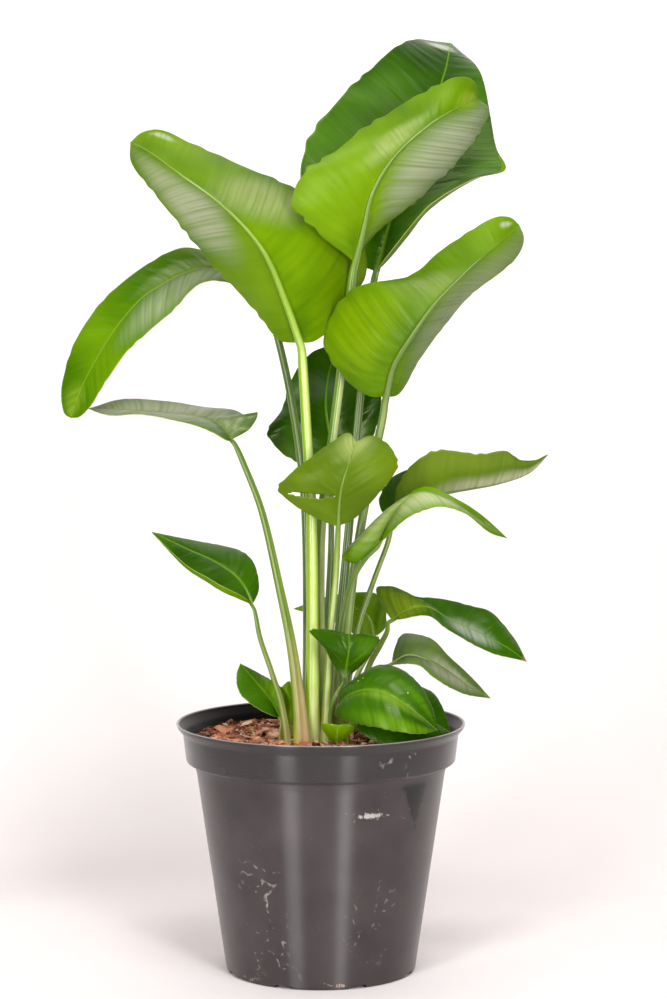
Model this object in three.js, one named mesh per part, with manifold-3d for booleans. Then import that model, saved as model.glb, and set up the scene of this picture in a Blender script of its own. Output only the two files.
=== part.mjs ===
// Potted bird of paradise: a young plant of several clumps in a moulded nursery pot.
// Millimetres, +Z up. The origin is the centre of the pot's foot, on the surface it stands on.
import * as THREE from "three";
import { mergeVertices } from "three/addons/utils/BufferGeometryUtils.js";
import Module from "manifold-3d";

const wasm = await Module();
wasm.setup();

// ---------- driving dimensions ----------

const POT_HEIGHT = 216;
const LIP_RADIUS = 125; // outer edge of the flared lip
const LIP_DEPTH = 9; // from the top of the lip down to the band
const LIP_EDGE_HEIGHT = 3; // upright edge of the lip, above its flare
const LIP_EDGE_DRAFT = 0.8; // how much that edge widens on its way up
const BAND_TOP_RADIUS = 119.2; // upright band under the lip
const BAND_BOTTOM_RADIUS = 116.3;
const BAND_HEIGHT = 24;
const BAND_CHAMFER = 1; // along the band's lower edge
const SHOULDER_HEIGHT = 6; // rounded step from the band down to the wall
const SHOULDER_WIDTH = 2.5; // how far the step reaches out before it turns level
const INNER_STEP_RISE = 1.9; // how much higher the step lies inside than outside
const WALL_TOP_RADIUS = 108; // tapered wall, just under the step
const WALL_BOTTOM_RADIUS = 82;
const WALL = 2.4; // wall thickness
const FLOOR = 3; // floor thickness
const FOOT_HEIGHT = 3; // ring and pad that hold the floor clear of the surface
const FOOT_CHAMFER = 2;
const FOOT_RING_WIDTH = 9;
const FOOT_CENTRE_RADIUS = 22;
const DRAIN_COUNT = 8;
const DRAIN_RADIUS = 6;
const DRAIN_SIDES = 14;
const DRAIN_CIRCLE_RADIUS = 60;
const DRAIN_GAP_WIDTH = 16; // slot through the foot ring in front of each drain
const DRAIN_GAP_HEIGHT = 2.7;
const POT_SEGMENTS = 56;

const CLEARANCE = 0.4; // gap between touching solids
const MIX_SLACK = 0.2; // extra room between the mix and the facets of the pot's wall
const MIX_EDGE_HEIGHT = 200;
const MIX_CENTRE_HEIGHT = 203;
// The swell of the mix: shares of its radius, and the share of the rise that it has reached there.
const MIX_SWELL = [[0.83, 0.17], [0.66, 0.5], [0.44, 0.8], [0.22, 0.93]];
const MIX_LUMP_HEIGHT = 0.8;
const MIX_LUMP_SPACING = [20, 23]; // from one lump to the next, left to right and front to back
const MIX_SEGMENTS = 40;

const PLANTING_DEPTH = 13; // how far a stalk reaches down into the mix
const COLLAR_HEIGHT = 3; // a stalk stands upright up to here above the mix
const NECK_LENGTH = 4; // straight end of a stalk, in line with the midrib
const STALK_SIDES = 8;
const STALK_STEPS = 7;
const SHORT_STALK_STEPS = 3;
const BLADE_THICKNESS = 1.1;
const BLADE_TIP_WIDTH = 1.6;
const BLADE_END_SHARE = 0.08; // share of a blade's length over which it narrows to its base and to its tip
const BLADE_FACING_LIMIT = 0.12; // a blade keeps facing the same way beyond this share from either end
const BLADE_CROWDING = 0.08; // how much closer the facets lie at a blade's ends

// A tear in the left half of one blade: where its middle is, across (0 at the midrib) and along the
// half, and its length and width.
const TEAR = { leaf: "front_centre", across: -0.48, along: 0.365, length: 30, width: 3.4 };
const TEAR_SIDES = 10;

// ---------- the leaves ----------

// Each leaf: where its stalk leaves the mix, the stalk's thickness at both ends, the points that the
// stalk passes, the points that the midrib passes, the points that each edge of the blade passes
// between the end of the stalk and the tip, how far each half of the blade bulges as a share of its
// width, and how many facets the blade has across and along. Left and right are as seen from the side
// of the blade that the viewer sees, with the tip up.
const LEAVES = [
  {
    name: "top_back",
    root: [8, 14],
    thick: [10, 6.5],
    stalk: [[24, 22, 378], [34, 34, 493], [44, 44, 579]],
    rib: [
      [48, 48, 604], [62, 66, 653], [81, 90, 709], [99, 122, 749], [112, 158, 785], [118, 196, 810],
      [121, 226, 811],
    ],
    left: [
      [25, 54, 614], [-2, 60, 640], [-18, 64, 685], [-13, 70, 715], [14, 90, 754], [55, 138, 794],
      [86, 184, 812],
    ],
    right: [
      [58, 50, 612], [78, 46, 635], [93, 46, 654], [139, 56, 685], [164, 66, 692], [154, 84, 712],
      [144, 150, 779],
    ],
    bulge: [0.01, 0.02],
    steps: [10, 18],
  },
  {
    name: "top_front",
    root: [1, -4],
    thick: [11, 7.5],
    stalk: [[0, 2, 380], [11, 10, 468], [22, 15, 554]],
    rib: [
      [29, 13, 612], [36, 7, 641], [44, 2, 672], [63, 2, 703], [90, 8, 727], [117, 22, 744],
      [137, 44, 752],
    ],
    left: [
      [17, 6, 622], [-6, -9, 641], [-24, -20, 662], [-18, -16, 686], [6, -6, 703], [30, 5, 721],
      [64, 16, 742], [112, 34, 769], [130, 44, 768],
    ],
    right: [[42, 24, 630], [60, 34, 649], [88, 42, 669], [114, 46, 693], [135, 48, 720], [146, 50, 744]],
    bulge: [0.08, 0.1],
    steps: [10, 18],
  },
  {
    name: "upper_left",
    root: [-7, -18],
    thick: [13, 8],
    stalk: [[-8, -16, 399], [-12, -12, 470], [-15, -10, 521]],
    rib: [
      [-18, -12, 544], [-30, -24, 579], [-49, -38, 623], [-80, -44, 658], [-118, -38, 686],
      [-146, -18, 706], [-162, 4, 714],
    ],
    left: [
      [-34, -4, 546], [-62, 6, 578], [-98, 0, 616], [-136, -8, 665], [-155, -6, 688], [-162, 0, 701],
    ],
    right: [
      [-6, -4, 545], [12, 14, 560], [32, 32, 587], [39, 38, 612], [30, 40, 644], [-25, 28, 677],
      [-69, 14, 695], [-112, 8, 714], [-137, 6, 724], [-152, 4, 722],
    ],
    bulge: [0.06, 0.04],
    steps: [10, 18],
  },
  {
    name: "upper_right",
    root: [15, 0],
    thick: [10, 7],
    stalk: [[27, 0, 335], [42, 0, 426], [53, -4, 479]],
    rib: [
      [56, -8, 498], [62, -20, 525], [76, -30, 549], [98, -36, 580], [124, -32, 606], [150, -14, 627],
      [170, 12, 644],
    ],
    left: [
      [42, -6, 498], [22, 0, 512], [4, 4, 538], [6, 4, 562], [30, -4, 591], [76, -12, 601],
      [101, -12, 621], [134, -4, 643], [152, 4, 651], [163, 9, 650],
    ],
    right: [
      [66, -2, 500], [85, 4, 530], [104, 2, 556], [128, 0, 584], [153, 4, 603], [169, 10, 618],
      [174, 13, 633],
    ],
    bulge: [0.04, 0.12],
    steps: [10, 18],
  },
  {
    name: "far_left",
    root: [-12, 6],
    thick: [9, 6.5],
    stalk: [[-14, 12, 408], [-24, 26, 485], [-37, 40, 545]],
    rib: [
      [-51, 46, 579], [-95, 44, 607], [-146, 30, 588], [-171, 20, 563], [-191, 10, 532], [-206, 4, 503],
      [-215, 6, 479],
    ],
    left: [
      [-70, 38, 592], [-100, 20, 594], [-126, 4, 572], [-165, -4, 537], [-184, -6, 512], [-197, -4, 490],
      [-207, 1, 480],
    ],
    right: [
      [-62, 66, 598], [-90, 70, 617], [-120, 64, 625], [-154, 54, 606], [-193, 40, 574], [-214, 26, 540],
      [-224, 14, 502], [-221, 9, 483],
    ],
    bulge: [0.02, 0.02],
    steps: [8, 18],
  },
  {
    name: "mid_left",
    root: [-16, -31],
    thick: [13, 5],
    stalk: [[-23, -30, 275], [-35, -27, 336], [-51, -18, 403], [-66, -11, 441]],
    rib: [
      [-76, -7, 461], [-87, 2, 473], [-101, 8, 479], [-133, 16, 483], [-169, 22, 485], [-202, 26, 486],
    ],
    left: [[-80, -20, 462], [-93, -24, 470], [-108, -22, 476], [-151, -10, 480], [-179, 4, 480]],
    right: [
      [-62, 2, 468], [-54, 10, 482], [-63, 20, 478], [-76, 32, 484], [-103, 40, 486], [-132, 44, 490],
      [-175, 40, 494],
    ],
    bulge: [0.02, 0.02],
    steps: [8, 14],
  },
  {
    name: "small_left",
    root: [-28, -38],
    thick: [6, 4],
    stalk: [[-33, -38, 236], [-42, -38, 266], [-52, -36, 296]],
    rib: [[-58, -34, 322], [-69, -30, 343], [-90, -25, 358], [-117, -21, 370], [-144, -20, 383]],
    left: [[-70, -46, 327], [-84, -52, 333], [-98, -52, 342], [-114, -44, 352]],
    right: [[-53, -26, 333], [-54, -16, 347], [-61, -6, 360], [-72, 0, 366], [-100, -4, 373]],
    bulge: [0.04, 0.03],
    steps: [6, 10],
  },
  {
    name: "behind_centre",
    root: [2, 24],
    thick: [8, 5],
    stalk: [[5, 34, 283], [9, 50, 369], [9, 60, 414]],
    rib: [[11, 64, 436], [8, 66, 458], [4, 74, 486], [7, 84, 514], [15, 96, 540]],
    left: [[-4, 62, 431], [-35, 58, 446], [-47, 58, 463], [-34, 74, 484], [-28, 80, 504], [-10, 90, 530]],
    right: [[27, 62, 436], [42, 62, 453], [53, 70, 482], [51, 80, 512], [38, 92, 532]],
    bulge: [0.1, 0.1],
    steps: [8, 12],
  },
  {
    name: "front_centre",
    root: [4, -30],
    thick: [8, 5],
    stalk: [[8, -30, 291], [13, -36, 348]],
    rib: [[15, -42, 390], [16, -50, 411], [19, -55, 429], [25, -50, 446], [30, -34, 461]],
    left: [
      [2, -42, 395], [-19, -42, 406], [-36, -40, 421], [-29, -46, 432], [-14, -46, 444], [10, -36, 461],
      [24, -30, 468],
    ],
    right: [
      [28, -42, 396], [44, -44, 412], [54, -46, 424], [65, -42, 440], [61, -36, 454], [44, -30, 465],
    ],
    bulge: [0.08, 0.08],
    steps: [10, 14],
  },
  {
    name: "mid_right_upper",
    root: [19, 12],
    thick: [7, 4.5],
    stalk: [[31, 14, 292], [46, 20, 337], [60, 24, 377]],
    rib: [[64, 26, 398], [79, 20, 407], [116, 14, 415], [155, 14, 422], [181, 18, 431], [197, 24, 446]],
    left: [
      [66, 14, 418], [78, 6, 437], [92, 2, 448], [110, 0, 451], [133, 2, 448], [159, 6, 451],
      [172, 14, 443], [185, 20, 442],
    ],
    right: [
      [55, 34, 394], [51, 44, 407], [60, 52, 422], [78, 52, 432], [105, 46, 441], [148, 42, 441],
      [178, 34, 436],
    ],
    bulge: [0.1, 0.06],
    steps: [8, 14],
  },
  {
    name: "mid_right_lower",
    root: [11, -15],
    thick: [7, 4.5],
    stalk: [[16, -12, 290], [27, -12, 340], [40, -18, 362]],
    rib: [
      [50, -24, 374], [59, -32, 394], [71, -42, 412], [86, -48, 420], [104, -50, 415], [122, -50, 404],
      [141, -48, 391], [158, -46, 380],
    ],
    left: [
      [42, -22, 366], [30, -20, 357], [18, -18, 360], [34, -16, 380], [54, -14, 397], [72, -22, 414],
      [90, -34, 423], [114, -44, 413], [135, -46, 400],
    ],
    right: [[56, -36, 380], [75, -52, 399], [100, -60, 408], [122, -60, 402], [143, -54, 386]],
    bulge: [0.06, 0.1],
    steps: [8, 16],
  },
  {
    name: "low_right",
    root: [25, -3],
    thick: [6.5, 4.5],
    stalk: [[41, 6, 262], [52, 0, 284], [57, -6, 296]],
    rib: [
      [61, -10, 306], [74, -16, 315], [91, -20, 319], [112, -26, 308], [136, -28, 297], [160, -28, 284],
      [176, -26, 272],
    ],
    left: [
      [54, 2, 316], [48, 8, 331], [62, 4, 333], [80, -8, 326], [104, -8, 324], [127, -8, 319],
      [146, -10, 314], [166, -16, 292],
    ],
    right: [[68, -20, 308], [92, -28, 312], [106, -36, 303], [123, -40, 294], [148, -38, 281]],
    bulge: [0.04, 0.04],
    steps: [8, 14],
  },
  {
    name: "lowest_right",
    root: [28, 9],
    thick: [6, 4],
    stalk: [[39, 12, 233], [51, 12, 251]],
    rib: [[61, 10, 264], [76, 6, 273], [94, 0, 269], [112, -4, 259], [129, -6, 247], [146, -4, 237]],
    left: [[64, 18, 278], [71, 22, 290], [96, 12, 287], [110, 4, 272], [128, 0, 255]],
    right: [[68, -4, 266], [84, -14, 266], [98, -18, 256], [124, -12, 242]],
    bulge: [0.1, 0.08],
    steps: [6, 10],
  },
  {
    name: "small_centre",
    root: [9, -45],
    thick: [4.5, 3.2],
    stalk: [[8, -47, 229], [13, -49, 247]],
    rib: [[20, -48, 260], [22, -58, 274], [24, -64, 288], [24, -60, 300]],
    left: [[10, -50, 274], [3, -50, 288], [-9, -44, 301], [6, -50, 303]],
    right: [[34, -50, 272], [44, -50, 284], [50, -44, 295], [38, -52, 299]],
    bulge: [0.1, 0.1],
    steps: [6, 8],
  },
  {
    name: "front_low_right",
    root: [23, -27],
    thick: [6, 4],
    stalk: [[22, -32, 214], [17, -44, 230]],
    rib: [[16, -54, 240], [25, -62, 249], [40, -72, 255], [58, -80, 252], [72, -84, 243], [98, -82, 222]],
    left: [
      [18, -50, 251], [32, -50, 264], [48, -52, 273], [64, -56, 272], [82, -64, 259], [94, -74, 238],
    ],
    right: [[12, -66, 233], [26, -80, 229], [44, -92, 226], [64, -98, 223], [84, -94, 221]],
    bulge: [0.12, 0.1],
    steps: [8, 12],
  },
  {
    name: "under_right",
    root: [22, -47],
    thick: [5, 3.5],
    stalk: [[22, -49, 211], [23, -53, 219]],
    rib: [[30, -58, 224], [49, -60, 226], [76, -56, 226], [96, -46, 222], [110, -42, 214]],
    left: [[36, -42, 232], [54, -30, 242], [76, -24, 250], [94, -28, 246], [106, -36, 228]],
    right: [[36, -66, 216], [52, -72, 210], [74, -74, 208], [98, -58, 209]],
    bulge: [0.1, 0.08],
    steps: [6, 8],
  },
  {
    name: "tiny_front",
    root: [12, -54],
    thick: [4, 2.5],
    stalk: [[14, -55, 204]],
    rib: [[14, -57, 207], [14, -64, 216], [15, -66, 224]],
    left: [[6, -60, 213], [1, -61, 224], [8, -65, 225]],
    right: [[22, -61, 213], [29, -64, 223], [21, -66, 225]],
    bulge: [0.1, 0.1],
    steps: [4, 6],
  },
  {
    name: "base_left",
    root: [-34, -28],
    thick: [5, 3.5],
    stalk: [[-34, -28, 211]],
    rib: [[-35, -26, 224], [-43, -22, 238], [-55, -20, 253], [-69, -22, 270]],
    left: [[-43, -32, 227], [-57, -35, 235], [-69, -32, 246], [-72, -26, 260]],
    right: [[-30, -18, 238], [-35, -10, 249], [-50, -8, 258]],
    bulge: [0.04, 0.03],
    steps: [6, 8],
  },
  {
    name: "base_left_young",
    root: [-25, -12],
    thick: [5, 4],
    stalk: [[-24, -12, 206]],
    rib: [[-25, -12, 213], [-29, -11, 230], [-34, -7, 247]],
    left: [[-30, -10, 220], [-34, -8, 234]],
    right: [[-22, -10, 222], [-23, -7, 240], [-27, -5, 252]],
    bulge: [0.25, 0.25],
    steps: [4, 6],
  },
  {
    name: "behind_low",
    root: [16, 33],
    thick: [6, 4],
    stalk: [[34, 36, 256], [44, 40, 272]],
    rib: [[47, 42, 284], [43, 48, 300], [27, 56, 309], [0, 60, 309], [-24, 60, 307]],
    left: [[36, 46, 278], [24, 52, 290], [-4, 58, 301]],
    right: [[56, 42, 292], [57, 44, 308], [52, 48, 320], [28, 62, 321], [2, 64, 316]],
    bulge: [0.1, 0.1],
    steps: [6, 8],
  },
];

// ---------- materials ----------

const material = (color, roughness) => new THREE.MeshStandardMaterial({ color, roughness, metalness: 0 });
const potPlastic = material(0x2b2827, 0.35);
const barkMix = material(0x7a4a30, 0.95);
const bladeGreen = material(0x5a8a0c, 0.4);
const stalkGreen = material(0x9fc044, 0.45);

// ---------- shape helpers ----------

const point = ([x, y, z]) => new THREE.Vector3(x, y, z);

const smoothCurve = (points) => new THREE.CatmullRomCurve3(points, false, "centripetal");

function named(name, geometry, finish) {
  const mesh = new THREE.Mesh(geometry, finish);
  mesh.name = name;
  return mesh;
}

function solidFrom(geometry) {
  const bare = geometry.clone();
  bare.deleteAttribute("normal");
  bare.deleteAttribute("uv");
  const merged = mergeVertices(bare, 1e-3);
  return new wasm.Manifold(
    new wasm.Mesh({
      numProp: 3,
      vertProperties: merged.attributes.position.array,
      triVerts: new Uint32Array(merged.index.array),
    }),
  );
}

function geometryFrom(solid) {
  const mesh = solid.getMesh();
  const geometry = new THREE.BufferGeometry();
  geometry.setAttribute("position", new THREE.BufferAttribute(new Float32Array(mesh.vertProperties), 3));
  geometry.setIndex(new THREE.BufferAttribute(new Uint32Array(mesh.triVerts), 1));
  geometry.computeVertexNormals();
  return geometry;
}

// Moves every vertex of a geometry to where place() says.
function reshape(geometry, place) {
  const at = geometry.attributes.position;
  const vertex = new THREE.Vector3();
  for (let i = 0; i < at.count; i++) {
    vertex.fromBufferAttribute(at, i);
    at.setXYZ(i, ...place(vertex).toArray());
  }
  geometry.computeVertexNormals();
  return geometry;
}

// ---------- pot ----------

const BAND_BOTTOM_HEIGHT = POT_HEIGHT - LIP_DEPTH - BAND_HEIGHT;

function potOuter() {
  return [
    [WALL_BOTTOM_RADIUS - FOOT_RING_WIDTH, 0],
    [WALL_BOTTOM_RADIUS - FOOT_CHAMFER, 0],
    [WALL_BOTTOM_RADIUS, FOOT_CHAMFER],
    [WALL_TOP_RADIUS, BAND_BOTTOM_HEIGHT - SHOULDER_HEIGHT],
    [WALL_TOP_RADIUS + SHOULDER_WIDTH, BAND_BOTTOM_HEIGHT - BAND_CHAMFER],
    [BAND_BOTTOM_RADIUS - BAND_CHAMFER, BAND_BOTTOM_HEIGHT],
    [BAND_BOTTOM_RADIUS, BAND_BOTTOM_HEIGHT + BAND_CHAMFER],
    [BAND_TOP_RADIUS, POT_HEIGHT - LIP_DEPTH],
    [LIP_RADIUS - LIP_EDGE_DRAFT, POT_HEIGHT - LIP_EDGE_HEIGHT],
    [LIP_RADIUS, POT_HEIGHT - LIP_EDGE_DRAFT],
    [LIP_RADIUS - LIP_EDGE_DRAFT, POT_HEIGHT],
  ];
}

function potInner() {
  return [
    [LIP_RADIUS - WALL, POT_HEIGHT],
    [LIP_RADIUS - LIP_EDGE_DRAFT - WALL, POT_HEIGHT - LIP_EDGE_HEIGHT],
    [BAND_TOP_RADIUS - WALL, POT_HEIGHT - LIP_DEPTH],
    [BAND_BOTTOM_RADIUS - WALL, BAND_BOTTOM_HEIGHT + BAND_CHAMFER + INNER_STEP_RISE],
    [WALL_TOP_RADIUS + SHOULDER_WIDTH - WALL, BAND_BOTTOM_HEIGHT - BAND_CHAMFER + INNER_STEP_RISE],
    [WALL_TOP_RADIUS - WALL, BAND_BOTTOM_HEIGHT - SHOULDER_HEIGHT],
    [WALL_BOTTOM_RADIUS - WALL, FOOT_HEIGHT + FLOOR],
    [0, FOOT_HEIGHT + FLOOR],
  ];
}

function potFootCentre() {
  return [
    [0, 0],
    [FOOT_CENTRE_RADIUS, 0],
    [FOOT_CENTRE_RADIUS, FOOT_HEIGHT],
    [WALL_BOTTOM_RADIUS - FOOT_RING_WIDTH, FOOT_HEIGHT],
  ];
}

function turned(profile, segments) {
  const outline = profile.map(([radius, height]) => new THREE.Vector2(radius, height));
  return new THREE.LatheGeometry(outline, segments).rotateX(Math.PI / 2);
}

// A round drain hole through the floor and the slot that leads from it out through the foot ring.
function drainCut(index) {
  const angle = (2 * Math.PI * (index + 0.5)) / DRAIN_COUNT - Math.PI / 2;
  const holeHeight = 4 * (FOOT_HEIGHT + FLOOR);
  const hole = new THREE.CylinderGeometry(DRAIN_RADIUS, DRAIN_RADIUS, holeHeight, DRAIN_SIDES);
  hole.rotateX(Math.PI / 2).translate(DRAIN_CIRCLE_RADIUS, 0, 0).rotateZ(angle);
  const gap = new THREE.BoxGeometry(3 * FOOT_RING_WIDTH, DRAIN_GAP_WIDTH, 2 * DRAIN_GAP_HEIGHT);
  gap.translate(WALL_BOTTOM_RADIUS, 0, 0).rotateZ(angle);
  return solidFrom(hole).add(solidFrom(gap));
}

function buildPot() {
  let pot = solidFrom(turned([...potFootCentre(), ...potOuter(), ...potInner()], POT_SEGMENTS));
  for (let i = 0; i < DRAIN_COUNT; i++) {
    pot = pot.subtract(drainCut(i));
  }
  return named("pot", geometryFrom(pot), potPlastic);
}

// ---------- stalks ----------

function stalkCurve(leaf, extraDepth) {
  const [x, y] = leaf.root;
  const foot = new THREE.Vector3(x, y, MIX_EDGE_HEIGHT - PLANTING_DEPTH - extraDepth);
  const collar = new THREE.Vector3(x, y, MIX_EDGE_HEIGHT + COLLAR_HEIGHT);
  const base = point(leaf.rib[0]);
  const along = point(leaf.rib[1]).sub(base).normalize();
  const end = base.clone().addScaledVector(along, -CLEARANCE);
  const neck = end.clone().addScaledVector(along, -NECK_LENGTH);
  return smoothCurve([foot, collar, ...leaf.stalk.map(point), neck, end]);
}

// A tapered round tube along the curve, closed at both ends.
function tube(curve, footRadius, topRadius, steps) {
  const shape = new THREE.CylinderGeometry(1, 1, 1, STALK_SIDES, steps);
  return reshape(shape, (vertex) => {
    const t = vertex.y + 0.5;
    const radius = THREE.MathUtils.lerp(footRadius, topRadius, Math.sqrt(t));
    const forward = curve.getTangentAt(t);
    const side = new THREE.Vector3(0, 1, 0).cross(forward).normalize();
    const up = side.clone().cross(forward);
    return curve
      .getPointAt(t)
      .addScaledVector(side, vertex.x * radius)
      .addScaledVector(up, vertex.z * radius);
  });
}

function stalkShape(leaf, grow = 0) {
  const [foot, top] = leaf.thick;
  const steps = leaf.stalk.length < 2 ? SHORT_STALK_STEPS : STALK_STEPS;
  return tube(stalkCurve(leaf, grow), foot / 2 + grow, top / 2 + grow, steps);
}

// ---------- blades ----------

// The smooth lines of a blade: its midrib, and its two edges from the end of the stalk to the tip.
function bladeLines(leaf) {
  const base = leaf.rib[0];
  const tip = leaf.rib.at(-1);
  return {
    rib: smoothCurve(leaf.rib.map(point)),
    left: smoothCurve([base, ...leaf.left, tip].map(point)),
    right: smoothCurve([base, ...leaf.right, tip].map(point)),
  };
}

// Half the width that a blade still has where its edges meet, at its base and at its tip.
function endHalfWidth(leaf, t) {
  const atBase = (leaf.thick[1] / 2) * Math.max(0, 1 - t / BLADE_END_SHARE);
  const atTip = (BLADE_TIP_WIDTH / 2) * Math.max(0, 1 - (1 - t) / BLADE_END_SHARE);
  return atBase + atTip;
}

// Which way is right across a blade at t along it, and which way each half and the midrib face there.
function bladeFrame(lines, across, t) {
  const u = THREE.MathUtils.clamp(t, BLADE_FACING_LIMIT, 1 - BLADE_FACING_LIMIT);
  const forward = lines.rib.getTangentAt(u);
  const [left, middle, right] = [lines.left, lines.rib, lines.right].map((line) => line.getPointAt(u));
  const rightward = right.clone().sub(left).normalize();
  const start = across > 0 ? middle : left;
  const end = across < 0 ? middle : right;
  const facing = end.clone().sub(start).cross(forward).normalize();
  const upward = rightward.clone().cross(forward).normalize();
  return { rightward, facing, upward };
}

// Where the point that lies `across` (-1 left edge, 1 right edge) and t along lies on the blade.
function bladePoint(leaf, lines, across, t, height) {
  const edge = across < 0 ? lines.left : lines.right;
  const bulge = leaf.bulge[across < 0 ? 0 : 1];
  const outward = Math.abs(across);
  const frame = bladeFrame(lines, across, t);
  const start = lines.rib.getPointAt(t);
  const out = edge.getPointAt(t).sub(start);
  const arch = bulge * out.length() * 4 * outward * (1 - outward);
  return start
    .addScaledVector(out, outward)
    .addScaledVector(frame.rightward, across * endHalfWidth(leaf, t))
    .addScaledVector(frame.upward, arch)
    .addScaledVector(frame.facing, height);
}

function bladeShape(leaf) {
  const lines = bladeLines(leaf);
  const [across, along] = leaf.steps;
  const sheet = new THREE.BoxGeometry(2, 1, 1, across, along, 1);
  return reshape(sheet, (vertex) => {
    const v = vertex.y + 0.5;
    const t = v - BLADE_CROWDING * Math.sin(2 * Math.PI * v);
    return bladePoint(leaf, lines, vertex.x, THREE.MathUtils.clamp(t, 0, 1), vertex.z * BLADE_THICKNESS);
  });
}

// The lens-shaped hole of the tear, along the line from the midrib out to the edge.
function tearCut(leaf) {
  const lines = bladeLines(leaf);
  const middle = bladePoint(leaf, lines, TEAR.across, TEAR.along, 0);
  const outer = bladePoint(leaf, lines, -1, TEAR.along, 0);
  const { facing } = bladeFrame(lines, TEAR.across, TEAR.along);
  const lengthwise = outer.sub(middle).projectOnPlane(facing).normalize();
  const crosswise = facing.clone().cross(lengthwise);
  const hole = new THREE.CylinderGeometry(1, 1, TEAR.length, TEAR_SIDES);
  return reshape(hole, (vertex) =>
    middle
      .clone()
      .addScaledVector(lengthwise, (vertex.x * TEAR.length) / 2)
      .addScaledVector(crosswise, (vertex.z * TEAR.width) / 2)
      .addScaledVector(facing, vertex.y),
  );
}

// The blade, cut away where its base comes round the end of its own stalk.
function buildBlade(leaf) {
  let blade = solidFrom(bladeShape(leaf)).subtract(solidFrom(stalkShape(leaf, CLEARANCE)));
  if (leaf.name === TEAR.leaf) {
    blade = blade.subtract(solidFrom(tearCut(leaf)));
  }
  const pieces = blade.decompose();
  const largest = pieces.reduce((best, piece) => (piece.volume() > best.volume() ? piece : best));
  return named(`blade_${leaf.name}`, geometryFrom(largest), bladeGreen);
}

// ---------- potting mix ----------

function mixProfile() {
  const inset = WALL + CLEARANCE + MIX_SLACK;
  const bottom = FOOT_HEIGHT + FLOOR + CLEARANCE;
  const edgeShare = (MIX_EDGE_HEIGHT - BAND_BOTTOM_HEIGHT) / BAND_HEIGHT;
  const edgeRadius = THREE.MathUtils.lerp(BAND_BOTTOM_RADIUS, BAND_TOP_RADIUS, edgeShare) - inset;
  const swell = MIX_SWELL.map(([out, rise]) => [
    out * edgeRadius,
    THREE.MathUtils.lerp(MIX_EDGE_HEIGHT, MIX_CENTRE_HEIGHT, rise),
  ]);
  return [
    [0, bottom],
    [WALL_BOTTOM_RADIUS - inset, bottom],
    [WALL_TOP_RADIUS - inset, BAND_BOTTOM_HEIGHT - SHOULDER_HEIGHT],
    [WALL_TOP_RADIUS - inset, BAND_BOTTOM_HEIGHT],
    [BAND_BOTTOM_RADIUS - inset, BAND_BOTTOM_HEIGHT + SHOULDER_HEIGHT],
    [edgeRadius, MIX_EDGE_HEIGHT],
    ...swell,
    [0, MIX_CENTRE_HEIGHT],
  ];
}

function buildMix() {
  const [acrossSpacing, depthSpacing] = MIX_LUMP_SPACING;
  const lumpy = reshape(turned(mixProfile(), MIX_SEGMENTS), (vertex) => {
    const onTop = vertex.z > MIX_EDGE_HEIGHT && Math.hypot(vertex.x, vertex.y) > 1;
    const wave = Math.sin((2 * Math.PI * vertex.x) / acrossSpacing);
    const lump = MIX_LUMP_HEIGHT * wave * Math.cos((2 * Math.PI * vertex.y) / depthSpacing);
    return vertex.clone().setZ(vertex.z + (onTop ? lump : 0));
  });
  let mix = solidFrom(lumpy);
  for (const leaf of LEAVES) {
    mix = mix.subtract(solidFrom(stalkShape(leaf, CLEARANCE)));
  }
  return named("potting_mix", geometryFrom(mix), barkMix);
}

// ---------- assembly ----------

const group = new THREE.Group();
group.add(buildPot());
group.add(buildMix());
for (const leaf of LEAVES) {
  group.add(named(`stalk_${leaf.name}`, stalkShape(leaf), stalkGreen));
  group.add(buildBlade(leaf));
}

export default group;
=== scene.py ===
import math
import random

import bmesh
import bpy
import numpy as np
from mathutils import Euler, Matrix, Vector, noise


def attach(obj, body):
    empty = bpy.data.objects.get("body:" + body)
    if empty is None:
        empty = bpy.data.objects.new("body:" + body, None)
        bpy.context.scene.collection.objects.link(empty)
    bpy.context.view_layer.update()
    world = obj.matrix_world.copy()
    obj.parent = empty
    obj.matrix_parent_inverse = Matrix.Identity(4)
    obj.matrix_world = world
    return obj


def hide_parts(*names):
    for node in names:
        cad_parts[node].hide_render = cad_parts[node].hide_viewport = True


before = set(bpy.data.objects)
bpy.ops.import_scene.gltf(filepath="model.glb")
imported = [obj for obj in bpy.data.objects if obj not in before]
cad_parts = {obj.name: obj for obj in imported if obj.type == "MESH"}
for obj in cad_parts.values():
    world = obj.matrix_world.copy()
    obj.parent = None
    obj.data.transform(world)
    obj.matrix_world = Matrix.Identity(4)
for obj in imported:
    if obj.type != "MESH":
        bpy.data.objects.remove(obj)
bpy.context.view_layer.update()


# ---------------------------------------------------------------------------
# Pot: a round nursery pot of black polypropylene, injection moulded in one
# shot. It has a rolled lip, an upright band, a rounded step and a tapered
# wall down to a foot ring that eight drain gaps cut through.
# ---------------------------------------------------------------------------

MM = 0.001
POT_STEPS = 160  # facets round the pot
ROUNDING_STEPS = 4
# Radius, height and rounding of each corner in mm, from under the middle of the floor, up outside and down
# inside.
POT_CORNERS = [
    (0, 0, 0), (22, 0, 0.6), (22, 3, 0.6), (73, 3, 0.6), (73, 0, 0.8), (82, 0, 2.6),
    (108, 177, 5), (110.5, 182, 2.2), (116.3, 183, 1.8), (119.2, 207, 1.4),
    (124.2, 213, 1.4), (125, 216, 1.0), (122.6, 216, 1.0), (121.8, 213.4, 1.0),
    (116.8, 207.6, 1.6), (113.9, 186, 1), (108.1, 184, 1), (105.6, 177, 2), (79.6, 6, 3), (0, 6, 0),
]
SHARP_FROM = 32  # degrees between two faces from which their edge shows sharp
DRAIN_COUNT = 8
DRAIN_RADIUS = 6 * MM
DRAIN_CIRCLE = 60 * MM
DRAIN_REACH = 40 * MM  # length of the cutter, more than the floor is thick
DRAIN_GAP = (27 * MM, 16 * MM, 5.4 * MM)
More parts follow.
